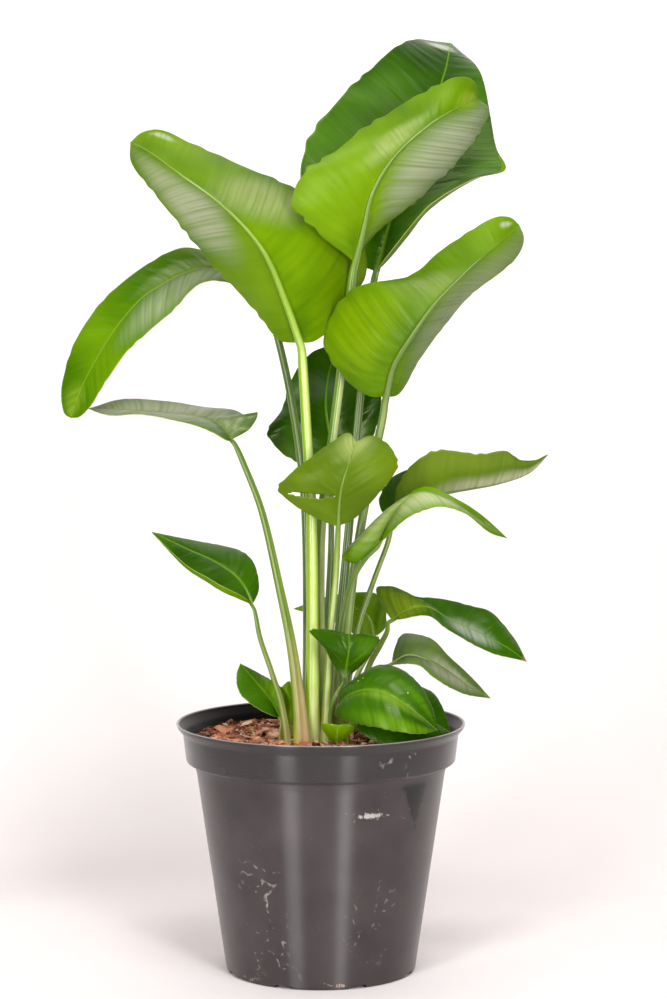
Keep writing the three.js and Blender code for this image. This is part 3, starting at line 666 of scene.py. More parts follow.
def stalk_line(leaf):
    x, y, _ = STALK_FEET[leaf["name"]]
    base = np.array(leaf["rib"][0], float)
    along = unit(np.array(leaf["rib"][1], float) - base)
    foot = [x, y, MIX_EDGE_HEIGHT - PLANTING_DEPTH]
    collar = [x, y, MIX_EDGE_HEIGHT + COLLAR_HEIGHT]
    return smooth_line([foot, collar, *leaf["stalk"], base - along * STEM_END, base])


def build_stalk(leaf):
    """The stalk, and the midrib that it runs on as, in one closed tube."""
    foot_half, top_half = (wide / 2 for wide in leaf["thick"])
    stem = stalk_line(leaf)
    rib = smooth_line(leaf["rib"])
    stem_length, rib_length = length_along(stem)[-1], length_along(rib)[-1]
    whole = np.vstack([stem, rib[1:]])
    mesh, across, row = flat_sheet("stalk_" + leaf["name"], STALK_SIDES, leaf["rings"])
    distance = row * (stem_length + rib_length * MIDRIB_END)
    at, forward = follow(whole, distance)
    on_stem = np.clip(distance / stem_length, 0, 1)
    t = np.clip((distance - stem_length) / rib_length, 0, 1)
    under = -1 if leaf["shows"] == "underside" else 1
    channel_side = under * upward_at(leaf, t)
    rightward = unit(np.cross(forward, channel_side))
    upward = np.cross(rightward, forward)
    sheath_height, sheath_wide = leaf["sheath"]
    above_mix = distance - PLANTING_DEPTH
    spread = (sheath_wide - 1) * np.exp(-np.clip(above_mix, 0, None) / sheath_height)
    # How far the stalk has turned into the midrib, from 0 to 1.
    joint = np.clip((distance - stem_length + JOINT_BELOW) / JOINT_LENGTH, 0, 1)
    joint = joint * joint * (3 - 2 * joint)
    stem_radius = foot_half + (top_half - foot_half) * np.sqrt(on_stem)
    radius = stem_radius * (1 - joint) + rib_radius(leaf, t) * joint
    angle = np.pi * across
    sideways, height = np.sin(angle), -np.cos(angle)
    channel = CHANNEL_DEPTH * np.exp(-(sideways / CHANNEL_HALF_WIDTH) ** 2) * (1 - joint)
    top = np.where(height > 0, (1 - joint) * (1 - channel) - MIDRIB_FLAT * joint, 1.0)
    sink = MIDRIB_SINK * joint
    places = at + rightward * (sideways * radius * (1 + spread))[:, None]
    places += upward * ((height * top - sink) * radius * (1 + SHEATH_DEPTH * spread))[:, None]
    lay_out(mesh, places, {
        "span": np.stack([sideways * radius, above_mix], axis=-1) * MM,
        "share": np.stack([height, row], axis=-1),
    })
    tube = bmesh.new()
    tube.from_mesh(mesh)
    bmesh.ops.remove_doubles(tube, verts=tube.verts[:], dist=0.002 * MM)
    bmesh.ops.holes_fill(tube, edges=[edge for edge in tube.edges if edge.is_boundary], sides=0)
    bmesh.ops.recalc_face_normals(tube, faces=tube.faces[:])
    tube.to_mesh(mesh)
    tube.free()
    mesh.shade_smooth()
    stalk = new_piece("leaf_stalk_" + leaf["name"], mesh, [leaf["skin"]])
    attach(stalk, "root")
    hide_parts("stalk_" + leaf["name"])


def leaf_face(
    name, deep, fresh, midrib, through, rough, lets_through, patches=(), withered_from=2.0, flecks=0.0,
):
    """One side of a grown leaf: waxy skin over soft ribs, in long clouds of lighter and darker green, and
    brighter where light shines through. A pale grey patch is painted sheen, a small white one is a painted
    highlight, a dark one at the foot of the blade is painted shade, and the rest are lighter or darker
    flesh.
    A patch is given as (across, along, half size across, half size along, colour, share)."""
    material, tree = new_material(name)
    spot = add_node(tree, "TexCoord").outputs["Object"]
    share_map = add_node(tree, "UVMap", uv_map="share")
    span = add_node(tree, "SeparateXYZ", {0: add_node(tree, "UVMap", uv_map="span")}).outputs
    share = add_node(tree, "SeparateXYZ", {0: share_map}).outputs
    reach = add_node(tree, "Math", {0: span["X"]}, operation="ABSOLUTE")
    outward = add_node(tree, "Math", {0: share["X"]}, operation="ABSOLUTE")
    # Side veins lie about 1.6 mm apart, soft ribs 4 mm and folds 12 mm, each a noise stretched along them.
    leaned = add_node(tree, "Math", {0: reach, 1: -VEIN_LEAN, 2: span["Y"]}, operation="MULTIPLY_ADD")
    vein_spot = add_node(tree, "CombineXYZ", {0: leaned, 1: span["X"]})
    lengthwise = []
    for apart, long, detail in ((1.613, 142.9, 2.0), (4, 166.7, 1.0), (11.765, 111.1, 2.0)):
        size = (per_metre(apart), per_metre(long), 1)
        drawn_out = add_node(tree, "Mapping", {"Vector": vein_spot, "Scale": size})
        lengthwise.append(add_node(tree, "TexNoise", {"Vector": drawn_out, "Scale": 1.0, "Detail": detail}))
    veins, ribs, folds = lengthwise
    clouds = add_node(tree, "TexNoise", {
        "Vector": spot, "Scale": per_metre(76.92), "Detail": 2.0, "Roughness": 0.45,
    })
    mixed = add_node(tree, "Math", {0: folds, 1: 0.14, 2: clouds}, operation="MULTIPLY_ADD")
    amount = add_node(tree, "MapRange", {"Value": mixed, 1: 0.38, 2: 0.76, 3: 0.0, 4: 1.0})
    colour = add_node(tree, "Mix", {0: amount, 6: srgb(deep), 7: srgb(fresh)}, data_type="RGBA")
    glowing = add_node(tree, "Mix", {0: amount, 6: srgb(deep), 7: srgb(through)}, data_type="RGBA")
    # Patches, many of them painted sheen, highlights or shade, are fainter along the ribs.
    off_ribs = add_node(tree, "MapRange", {"Value": ribs, 1: 0.42, 2: 0.68, 3: 1.0, 4: 0.5})
    layers = []
    for across, along, half_across, half_along, tint, most in patches:
        away = add_node(tree, "VectorMath", {0: share_map, 1: (across, along, 0)}, operation="SUBTRACT")
        scaled = add_node(tree, "VectorMath", {0: away, 1: (half_across, half_along, 1)}, operation="DIVIDE")
        distance = add_node(tree, "VectorMath", {0: scaled}, operation="LENGTH")
        blurred = add_node(tree, "Math", {0: clouds, 1: 0.8, 2: distance}, operation="MULTIPLY_ADD")
        fade = add_node(tree, "MapRange", {
            "Value": blurred, 1: 0.6, 2: 1.4, 3: most, 4: 0.0,
        }, interpolation_type="SMOOTHSTEP")
        layers.append((add_node(tree, "Math", {0: fade, 1: off_ribs}, operation="MULTIPLY"), tint))
    # Over them come pale side veins, the midrib, a dry line along the edge, a withered tip and flecks.
    on_vein = add_node(tree, "MapRange", {"Value": veins, 1: 0.5, 2: 0.75, 3: 0.0, 4: 0.16})
    rib_half = add_node(tree, "MapRange", {"Value": share["Y"], 1: 0.0, 2: 1.0, 3: 1.6 * MM, 4: 0.4 * MM})
    off_rib = add_node(tree, "Math", {0: reach, 1: rib_half}, operation="DIVIDE")
    on_rib = add_node(tree, "MapRange", {"Value": off_rib, 1: 0.6, 2: 1.3, 3: 0.7, 4: 0.0})
    at_edge = add_node(tree, "MapRange", {"Value": outward, 1: 0.982, 2: 1.0, 3: 0.0, 4: 0.4})
    ragged = add_node(tree, "Math", {0: clouds, 1: 0.06, 2: share["Y"]}, operation="MULTIPLY_ADD")
    withered = add_node(tree, "MapRange", {
        "Value": ragged, 1: withered_from, 2: withered_from + 0.02, 3: 0.0, 4: 1.0,
    })
    speck_spot = add_node(tree, "TexVoronoi", {"Vector": spot, "Scale": per_metre(6.25)})
    speck_drift = add_node(tree, "TexNoise", {"Vector": spot, "Scale": per_metre(23.81), "Detail": 1.0})
    speck_size = add_node(tree, "MapRange", {"Value": speck_drift, 1: 0.55, 2: 0.72, 3: 0.0, 4: flecks})
    speck = add_node(tree, "Math", {0: speck_spot, 1: speck_size}, operation="LESS_THAN")
    layers += [(on_vein, midrib), (on_rib, midrib), (at_edge, "b4bd62"), (withered, "9a5a44")]
    layers.append((speck, "d3d6a8"))
    for layer, tint in layers:
        colour = add_node(tree, "Mix", {0: layer, 6: colour, 7: srgb(tint)}, data_type="RGBA")
    leather = add_node(tree, "TexNoise", {"Vector": spot, "Scale": per_metre(1.4286), "Detail": 2.0})
    ribbed = add_node(tree, "Math", {0: ribs, 1: 2.5, 2: veins}, operation="MULTIPLY_ADD")
    grained = add_node(tree, "Math", {0: leather, 1: 0.2, 2: ribbed}, operation="MULTIPLY_ADD")
    bump = add_node(tree, "Bump", {"Height": grained, "Strength": 0.4, "Distance": 0.25 * MM})
    worn = add_node(tree, "MapRange", {"Value": clouds, 1: 0.3, 2: 0.7, 3: rough - 0.05, 4: rough + 0.08})
    skin = add_node(tree, "BsdfPrincipled", {
        "Base Color": colour, "Roughness": worn, "Normal": bump, "IOR": 1.4, "Specular IOR Level": 0.45,
        "Specular Tint": srgb("e4ebb4"),
    })
    glow = add_node(tree, "BsdfTranslucent", {"Color": glowing, "Normal": bump})
    both = add_node(tree, "MixShader", {0: lets_through, 1: skin, 2: glow})
    add_node(tree, "OutputMaterial", {"Surface": both})
    return material


def stalk_skin(name, foot, low, high, top, wax_highlight_tint, dryness):
    """A fresh stalk: smooth waxy skin with fine lengthwise fibres, paler at its foot. Wax whitens its outer
    side, where the pale stripe is also a painted highlight, and the channelled side of its sheath has dried
    as far as dryness says."""
    material, tree = new_material(name)
    spot = add_node(tree, "TexCoord").outputs["Object"]
    span_map = add_node(tree, "UVMap", uv_map="span")
    span = add_node(tree, "SeparateXYZ", {0: span_map}).outputs
    share = add_node(tree, "SeparateXYZ", {0: add_node(tree, "UVMap", uv_map="share")}).outputs
    size = (per_metre(0.909), per_metre(111.1), 1)
    drawn_out = add_node(tree, "Mapping", {"Vector": span_map, "Scale": size})
    fibre = add_node(tree, "TexNoise", {"Vector": drawn_out, "Scale": 1.0, "Detail": 3.0})
    blotch = add_node(tree, "TexNoise", {"Vector": spot, "Scale": per_metre(33.33), "Detail": 3.0})
    up = add_node(tree, "Math", {0: blotch, 1: 70 * MM, 2: span["Y"]}, operation="MULTIPLY_ADD")
    grown = add_node(tree, "MapRange", {"Value": up, 1: 20 * MM, 2: 620 * MM, 3: 0.0, 4: 1.0})
    colour = add_node(tree, "ValToRGB", {"Fac": grown}, [
        (0.0, srgb(foot)), (0.02, srgb(foot)), (0.09, srgb(low)), (0.5, srgb(high)), (1.0, srgb(top)),
    ])
    streak = add_node(tree, "MapRange", {"Value": fibre, 1: 0.35, 2: 0.7, 3: 0.0, 4: 0.18})
    in_channel = add_node(tree, "MapRange", {"Value": share["X"], 1: 0.3, 2: 0.9, 3: 0.0, 4: 0.35})
    # Wax and a painted highlight lie on the side away from the channel and end where the stalk runs on as
    # the blade's midrib.
    outer = add_node(tree, "MapRange", {"Value": share["X"], 1: -0.72, 2: -0.96, 3: 0.0, 4: 1.1})
    below_blade = add_node(tree, "MapRange", {"Value": share["Y"], 1: 0.48, 2: 0.66, 3: 1.0, 4: 0.1})
    wax_highlight = add_node(tree, "Math", {0: outer, 1: blotch}, operation="MULTIPLY")
    wax_highlight = add_node(tree, "Math", {0: wax_highlight, 1: below_blade}, operation="MULTIPLY")
    on_blade = add_node(tree, "MapRange", {"Value": share["Y"], 1: 0.6, 2: 0.8, 3: 0.0, 4: 0.55})
    # The sheath dries low down on its channelled side, except along its left edge.
    dried = add_node(tree, "MapRange", {"Value": up, 1: 40 * MM, 2: 140 * MM, 3: dryness, 4: 0.0})
    inner = add_node(tree, "MapRange", {"Value": share["X"], 1: -0.1, 2: 0.35, 3: 0.0, 4: 1.0})
    off_left = add_node(tree, "MapRange", {"Value": span["X"], 1: -5 * MM, 2: -3 * MM, 3: 0.0, 4: 1.0})
    for limit in (inner, off_left):
        dried = add_node(tree, "Math", {0: dried, 1: limit}, operation="MULTIPLY")
    layers = [(streak, "d5dd7c"), (in_channel, high), (wax_highlight, wax_highlight_tint), (on_blade, "527006"), (dried, "bd9a76")]
    for layer, tint in layers:
        colour = add_node(tree, "Mix", {0: layer, 6: colour, 7: srgb(tint)}, data_type="RGBA")
    bump = add_node(tree, "Bump", {"Height": fibre, "Strength": 0.3, "Distance": 0.08 * MM})
    surface = add_node(tree, "BsdfPrincipled", {
        "Base Color": colour, "Roughness": 0.25, "Normal": bump, "IOR": 1.45, "Specular IOR Level": 0.6,
        "Subsurface Weight": 0.15, "Subsurface Scale": 3 * MM,
    })
    add_node(tree, "OutputMaterial", {"Surface": surface})
    return material


# Upper sides are dark and glossy, and undersides lighter and waxy. Young leaves are yellower on both sides.
mature_upper = {
    "deep": "1f4502", "fresh": "3a6605", "midrib": "6f9a1c", "through": "86b800",
    "rough": 0.21, "lets_through": 0.28,
}
young_upper = {
    "deep": "447400", "fresh": "6f9a04", "midrib": "8fae2c", "through": "9cc400",
    "rough": 0.25, "lets_through": 0.34,
}
olive_under = {
    "deep": "42640a", "fresh": "6a8610", "midrib": "84a010", "through": "8ca606",
    "rough": 0.3, "lets_through": 0.4,
}
young_under = {
    "deep": "4f7c00", "fresh": "7fa604", "midrib": "8cac10", "through": "b0d200",
    "rough": 0.32, "lets_through": 0.42,
}
upper_deep = leaf_face("leaf_upper_side_mature", **mature_upper)
under_bright = leaf_face("leaf_underside_fresh", **young_under)
under_pale = leaf_face("leaf_underside_waxy", "7d8c5a", "a7ab88", "b0b98c", "9cb040", 0.42, 0.30)
young_bright = leaf_face("leaf_side_young", "6c9400", "90bc08", "a8c83c", "b8e400", 0.25, 0.4)
cut_edge = leaf_face("leaf_edge_pale", "8fa83a", "aebd62", "c4cf88", "b4cc50", 0.45, 0.3)

stalk_fresh = stalk_skin("leaf_stalk_fresh", "a09644", "6a8a14", "527410", "5a8008", "c6cf8e", 0.1)
stalk_deep = stalk_skin("leaf_stalk_mature", "8f8746", "5c7a24", "44621c", "4c7212", "98ac64", 0.25)
stalk_yellow = stalk_skin("leaf_stalk_young", "aa9a46", "86a408", "7aa00c", "6e9000", "d2d994", 0.25)
stalk_dark = stalk_skin("leaf_stalk_shaded", "8a8450", "46661a", "3a5c10", "3f660c", "7c9450", 0.0)
stalk_sheathed = stalk_skin("leaf_stalk_sheathed", "b4b048", "6a8420", "44621c", "4c7212", "98ac64", 0.85)


def grow_leaf(name, **given):
    """Builds a leaf from lines of points in mm: its stalk, the rib that this runs on as, and the left and
    right edges of its blade. A turned edge has a second line, where it ends after the fold. thick is the
    stalk's width at its foot and at its top, bulge is how far each half of the blade arches, as a share of
    its width, and faces are the materials of its underside and its upper side."""
    leaf = {
        "name": name,
        "wave": 1.6,  # height of the waves along the edges
        "scallop": 0.8,  # how far the edges go in and out
        "pleat": 11.0,  # from one soft fold to the next
        "depth": 0.14,  # height of these folds
        "facets": (48, 130),  # across and along the blade
        "rings": 150,  # along the stalk and the midrib
        "sheath": (30, 1.35),  # height over which it narrows, and its width as a multiple of the stalk's
        **given,
    }
    build_stalk(leaf)
    build_blade(leaf)


# Tallest leaf, behind the others: dark and glossy, its tip arched back and its right edge turned over.
top_back_upper = leaf_face("leaf_upper_side_top_back", **mature_upper, patches=[
    # The grey-green patches are painted sheen, and the narrow pale band near the tip is a painted highlight.
    (-0.5, 0.45, 0.5, 0.16, "5a7836", 0.35),
    (0.55, 0.35, 0.5, 0.35, "60803e", 0.45),
    (-0.9, 0.2, 0.25, 0.12, "6f8a5c", 0.35),
    (-0.25, 0.86, 0.6, 0.025, "dfe6d4", 0.8),
])
grow_leaf(
    "top_back", thick=(10, 6.5),
    stalk=[(24, 22, 378), (34, 34, 493), (44, 44, 579)],
    rib=[
        (48, 48, 604), (62, 66, 653), (81, 90, 709), (99, 122, 749), (112, 158, 785), (118, 196, 810),
        (121, 226, 811),
    ],
    left=[
        (25, 54, 614), (-2, 60, 640), (-18, 64, 685), (-13, 70, 715), (14, 90, 754), (55, 138, 794),
        (86, 184, 812),
    ],
    right=[
        (58, 50, 612), (78, 46, 635), (93, 46, 654), (139, 56, 685), (164, 66, 692), (154, 84, 712),
        (144, 150, 779),
    ],
    turned_right=[
        (57, 42, 616), (80, 36, 646), (94, 34, 661), (132, 44, 684), (157, 62, 694), (153, 84, 713),
        (143, 148, 778),
    ],
    bulge=(0.01, 0.02),
    shows="upper", faces=(under_bright, top_back_upper), skin=stalk_deep, facets=(72, 200), wave=2.0,
    pleat=14,
)
# Large fresh leaf in front of it, seen from its underside, with its stalk running up the middle.
top_front_under = leaf_face("leaf_underside_top_front", **young_under, patches=[
    # The two pale patches are painted sheen and the lighter band at the tip is a painted highlight; the one
    # low on the left is brighter green.
    (0.6, 0.55, 0.7, 0.48, "c6cbaa", 0.85),
    (-0.3, 0.55, 0.35, 0.2, "b0bd74", 0.7),
    (-0.7, 0.2, 0.5, 0.3, "8cb800", 0.6),
    (-0.1, 0.92, 0.5, 0.1, "a8bc40", 0.6),
])
grow_leaf(
    "top_front", thick=(11, 7.5),
    stalk=[(0, 2, 380), (11, 10, 468), (22, 15, 554)],
    rib=[
        (29, 13, 612), (36, 7, 641), (44, 2, 672), (63, 2, 703), (90, 8, 727), (117, 22, 744),
        (137, 44, 752),
    ],
    left=[
        (17, 6, 622), (-6, -9, 641), (-24, -20, 662), (-18, -16, 686), (6, -6, 703), (30, 5, 721),
        (64, 16, 742), (112, 34, 769), (130, 44, 768),
    ],
    right=[(42, 24, 630), (60, 34, 649), (88, 42, 669), (114, 46, 693), (135, 48, 720), (146, 50, 744)],
    bulge=(0.08, 0.10),
    shows="underside", faces=(top_front_under, upper_deep), skin=stalk_fresh, facets=(72, 190), wave=2.6,
    scallop=1.8,
)
# Large fresh leaf that leans out to the left, on the thickest stalk.
upper_left_under = leaf_face("leaf_underside_upper_left", **young_under, patches=[
    # The two pale patches are painted sheen, the dark one at the foot of the blade is painted shade and the
    # small white one near the tip is a painted highlight; the others are brighter green.
    (-0.5, 0.66, 0.6, 0.36, "c8ccaa", 0.85),
    (0.45, 0.55, 0.6, 0.17, "b6c07c", 0.75),
    (0.8, 0.25, 0.5, 0.3, "7fa000", 0.6),
    (0.1, 0.05, 0.6, 0.14, "456c00", 0.7),
    (0.7, 0.86, 0.5, 0.12, "8cb004", 0.6),
    (0.75, 0.9, 0.16, 0.05, "e0e4c4", 0.7),
])
grow_leaf(
    "upper_left", thick=(13, 8),
    stalk=[(-8, -16, 399), (-12, -12, 470), (-15, -10, 521)],
    rib=[
        (-18, -12, 544), (-30, -24, 579), (-49, -38, 623), (-80, -44, 658), (-118, -38, 686),
        (-146, -18, 706), (-162, 4, 714),
    ],
    left=[(-34, -4, 546), (-62, 6, 578), (-98, 0, 616), (-136, -8, 665), (-155, -6, 688), (-162, 0, 701)],
    right=[
        (-6, -4, 545), (12, 14, 560), (32, 32, 587), (39, 38, 612), (30, 40, 644), (-25, 28, 677),
        (-69, 14, 695), (-112, 8, 714), (-137, 6, 724), (-152, 4, 722),
    ],
    bulge=(0.06, 0.04),
    shows="underside", faces=(upper_left_under, upper_deep), skin=stalk_yellow, facets=(80, 210),
    sheath=(45, 1.6), depth=0.2, wave=2.0, scallop=1.2,
)
# Large leaf to the right, its far half hidden behind the midrib.
upper_right_under = leaf_face("leaf_underside_upper_right", **young_under, patches=[
    # The two pale patches are painted sheen, the dark one at the foot of the blade is painted shade and the
    # small pale one at the tip is a painted highlight; the other is brighter green.
    (-0.3, 0.55, 0.7, 0.12, "a4b070", 0.5),
    (0.6, 0.6, 0.7, 0.55, "a4b080", 0.65),
    (-0.6, 0.3, 0.5, 0.25, "90b400", 0.7),
    (0.4, 0.05, 0.6, 0.12, "4f7408", 0.6),
    (-0.5, 0.93, 0.25, 0.04, "dce2c0", 0.7),
])
grow_leaf(
    "upper_right", thick=(10, 7),
    stalk=[(27, 0, 335), (42, 0, 426), (53, -4, 479)],
    rib=[
        (56, -8, 498), (62, -20, 525), (76, -30, 549), (98, -36, 580), (124, -32, 606), (150, -14, 627),
        (170, 12, 644),
    ],
    left=[
        (42, -6, 498), (22, 0, 512), (4, 4, 538), (6, 4, 562), (30, -4, 591), (76, -12, 601),
        (101, -12, 621), (134, -4, 643), (152, 4, 651), (163, 9, 650),
    ],
    right=[
        (66, -2, 500), (85, 4, 530), (104, 2, 556), (128, 0, 584), (153, 4, 603), (169, 10, 618),
        (174, 13, 633),
    ],
    bulge=(0.04, 0.12),
    shows="underside", faces=(upper_right_under, upper_deep), skin=stalk_deep, facets=(72, 190), wave=1.4,
)
# Long leaf on the far left that arches down, ribbed and glossy.
far_left_upper = leaf_face("leaf_upper_side_far_left", **young_upper, patches=[
    # The two grey-green patches are painted sheen; the one at the tip is brighter green.
    (-0.55, 0.35, 0.6, 0.4, "b4bb98", 0.6),
    (0.25, 0.3, 0.3, 0.25, "98a86c", 0.5),
    (0.1, 0.95, 0.8, 0.1, "8fae30", 0.6),
])
grow_leaf(
    "far_left", thick=(9, 6.5),
    stalk=[(-14, 12, 408), (-24, 26, 485), (-37, 40, 545)],
    rib=[
        (-51, 46, 579), (-95, 44, 607), (-146, 30, 588), (-171, 20, 563), (-191, 10, 532), (-206, 4, 503),
        (-215, 6, 479),
    ],
    left=[
        (-70, 38, 592), (-100, 20, 594), (-126, 4, 572), (-165, -4, 537), (-184, -6, 512),
        (-197, -4, 490), (-207, 1, 480),
    ],
    right=[
        (-62, 66, 598), (-90, 70, 617), (-120, 64, 625), (-154, 54, 606), (-193, 40, 574),
        (-214, 26, 540), (-224, 14, 502), (-221, 9, 483),
    ],
    bulge=(0.02, 0.02),
    shows="upper", faces=(under_pale, far_left_upper), skin=stalk_deep, facets=(64, 200), depth=0.25,
)
# Leaf held level on the left, seen almost edge on.
mid_left_upper = leaf_face("leaf_upper_side_mid_left", **mature_upper, patches=[
    # Both grey patches are painted sheen, which covers most of the blade.
    (0.0, 0.6, 1.6, 0.8, "9a9e7c", 0.92),
    (0.0, 0.0, 1.2, 0.25, "8a9468", 0.6),
])
grow_leaf(
    "mid_left", thick=(13, 5),
    stalk=[(-23, -30, 275), (-35, -27, 336), (-51, -18, 403), (-66, -11, 441)],
    rib=[(-76, -7, 461), (-87, 2, 473), (-101, 8, 479), (-133, 16, 483), (-169, 22, 485), (-202, 26, 486)],
    left=[(-80, -20, 462), (-93, -24, 470), (-108, -22, 476), (-151, -10, 480), (-179, 4, 480)],
    right=[
        (-62, 2, 468), (-54, 10, 482), (-63, 20, 478), (-76, 32, 484), (-103, 40, 486), (-132, 44, 490),
        (-175, 40, 494),
    ],
    bulge=(0.02, 0.02),
    shows="upper", faces=(under_pale, mid_left_upper), skin=stalk_sheathed, sheath=(50, 1.5), wave=2.0,
)
# Small leaf low on the left.
grow_leaf(
    "small_left", thick=(6, 4),
    stalk=[(-33, -38, 236), (-42, -38, 266), (-52, -36, 296)],
    rib=[(-58, -34, 322), (-69, -30, 343), (-90, -25, 358), (-117, -21, 370), (-144, -20, 383)],
    left=[(-70, -46, 327), (-84, -52, 333), (-98, -52, 342), (-114, -44, 352)],
    right=[(-53, -26, 333), (-54, -16, 347), (-61, -6, 360), (-72, 0, 366), (-100, -4, 373)],
    turned_left=[(-67, -48, 331), (-82, -56, 340), (-97, -56, 349), (-113, -46, 357)],
    bulge=(0.04, 0.03),
    shows="upper", faces=(under_bright, upper_deep), skin=stalk_deep, wave=0.9,
)
# Dark leaf in the shade behind the stalks.
behind_centre_upper = leaf_face("leaf_upper_side_behind_centre", **mature_upper, patches=[
    # Both grey patches are painted sheen.
    (-0.3, 0.62, 0.9, 0.16, "5c6c54", 0.6),
    (-0.8, 0.15, 0.4, 0.15, "6c7860", 0.5),
])
grow_leaf(
    "behind_centre", thick=(8, 5),
    stalk=[(5, 34, 283), (9, 50, 369), (9, 60, 414)],
    rib=[(11, 64, 436), (8, 66, 458), (4, 74, 486), (7, 84, 514), (15, 96, 540)],
    left=[(-4, 62, 431), (-35, 58, 446), (-47, 58, 463), (-34, 74, 484), (-28, 80, 504), (-10, 90, 530)],
    right=[(27, 62, 436), (42, 62, 453), (53, 70, 482), (51, 80, 512), (38, 92, 532)],
    bulge=(0.10, 0.10),
    shows="upper", faces=(under_pale, behind_centre_upper), skin=stalk_deep,
)
# Olive leaf at the middle of the plant, torn across its left half.
front_centre_under = leaf_face("leaf_underside_front_centre", **olive_under, patches=[
    # The pale patch over the top of the blade is painted sheen; the others are darker olive.
    (0.0, 0.98, 1.4, 0.36, "c2cf78", 0.9),
    (0.1, 0.35, 1.0, 0.45, "587404", 0.8),
    (-0.6, 0.15, 0.6, 0.25, "66821c", 0.7),
])
grow_leaf(
    "front_centre", thick=(8, 5),
    stalk=[(8, -30, 291), (13, -36, 348)],
    rib=[(15, -42, 390), (16, -50, 411), (19, -55, 429), (25, -50, 446), (30, -34, 461)],
    left=[
        (2, -42, 395), (-19, -42, 406), (-36, -40, 421), (-29, -46, 432), (-14, -46, 444), (10, -36, 461),
        (24, -30, 468),
    ],
    right=[(28, -42, 396), (44, -44, 412), (54, -46, 424), (65, -42, 440), (61, -36, 454), (44, -30, 465)],
    bulge=(0.08, 0.08),
    tear=[(-0.6, 0.375, 0.24, 0.018), (-0.36, 0.36, 0.2, 0.022), (-0.14, 0.35, 0.04, 0.012)],
    shows="underside", faces=(front_centre_under, upper_deep), skin=stalk_fresh, facets=(110, 150),
    wave=1.2, depth=0.1,
)
# Upper leaf of the two on the right, folded up along its midrib, its near half leaning to the front.
mid_right_upper_under = leaf_face("leaf_underside_mid_right_upper", **olive_under, patches=[
    # The pale grey patch is painted sheen; the other is darker olive.
    (-0.05, 0.6, 0.5, 0.7, "c4c2a0", 0.9),
    (-0.8, 0.5, 0.4, 0.7, "7a922c", 0.7),
])
grow_leaf(
    "mid_right_upper", thick=(7, 4.5),
    stalk=[(31, 14, 292), (46, 20, 337), (60, 24, 377)],
    rib=[(64, 26, 398), (79, 20, 407), (116, 14, 415), (155, 14, 422), (181, 18, 431), (197, 24, 446)],
    left=[
        (66, 14, 418), (78, 6, 437), (92, 2, 448), (110, 0, 451), (133, 2, 448), (159, 6, 451),
        (172, 14, 443), (185, 20, 442),
    ],
    right=[
        (55, 34, 394), (51, 44, 407), (60, 52, 422), (78, 52, 432), (105, 46, 441), (148, 42, 441),
        (178, 34, 436),
    ],
    bulge=(0.10, 0.06),
    shows="underside", faces=(mid_right_upper_under, upper_deep), skin=stalk_deep, wave=0.8,
)
# Lower one, rolled along its length and hooked at the tip.
mid_right_lower_upper = leaf_face("leaf_upper_side_mid_right_lower", **young_upper, patches=[
    # The two pale patches are painted sheen; the one at the tip is darker green.
    (0.4, 0.5, 0.8, 0.45, "c2c59a", 0.85),
    (-0.3, 0.35, 0.8, 0.4, "b2b87a", 0.7),
    (-0.5, 0.9, 0.6, 0.2, "56781c", 0.6),
])
grow_leaf(
    "mid_right_lower", thick=(7, 4.5),
    stalk=[(16, -12, 290), (27, -12, 340), (40, -18, 362)],
    rib=[
        (50, -24, 374), (59, -32, 394), (71, -42, 412), (86, -48, 420), (104, -50, 415), (122, -50, 404),
        (141, -48, 391), (158, -46, 380),
    ],
    left=[
        (42, -22, 366), (30, -20, 357), (18, -18, 360), (34, -16, 380), (54, -14, 397), (72, -22, 414),
        (90, -34, 423), (114, -44, 413), (135, -46, 400),
    ],
    right=[(56, -36, 380), (75, -52, 399), (100, -60, 408), (122, -60, 402), (143, -54, 386)],
    bulge=(0.06, 0.10),
    shows="upper", faces=(under_pale, mid_right_lower_upper), skin=stalk_deep, wave=1.0,
)
# Twisted leaf with a dry brown tip.
low_right_upper = leaf_face("leaf_upper_side_dry_tip", **mature_upper, withered_from=0.985, patches=[
    # The pale grey patch is painted sheen; the one at the foot is olive.
    (0.3, 0.6, 0.7, 0.25, "b4b9a8", 0.7),
    (0.0, 0.1, 1.6, 0.26, "74861c", 0.85),
])
grow_leaf(
    "low_right", thick=(6.5, 4.5),
    stalk=[(41, 6, 262), (52, 0, 284), (57, -6, 296)],
    rib=[
        (61, -10, 306), (74, -16, 315), (91, -20, 319), (112, -26, 308), (136, -28, 297), (160, -28, 284),
        (176, -26, 272),
    ],
    left=[
        (54, 2, 316), (48, 8, 331), (62, 4, 333), (80, -8, 326), (104, -8, 324), (127, -8, 319),
        (146, -10, 314), (166, -16, 292),
    ],
    right=[(68, -20, 308), (92, -28, 312), (106, -36, 303), (123, -40, 294), (148, -38, 281)],
    bulge=(0.04, 0.04),
    shows="upper", faces=(under_bright, low_right_upper), skin=stalk_deep, wave=1.5,
)
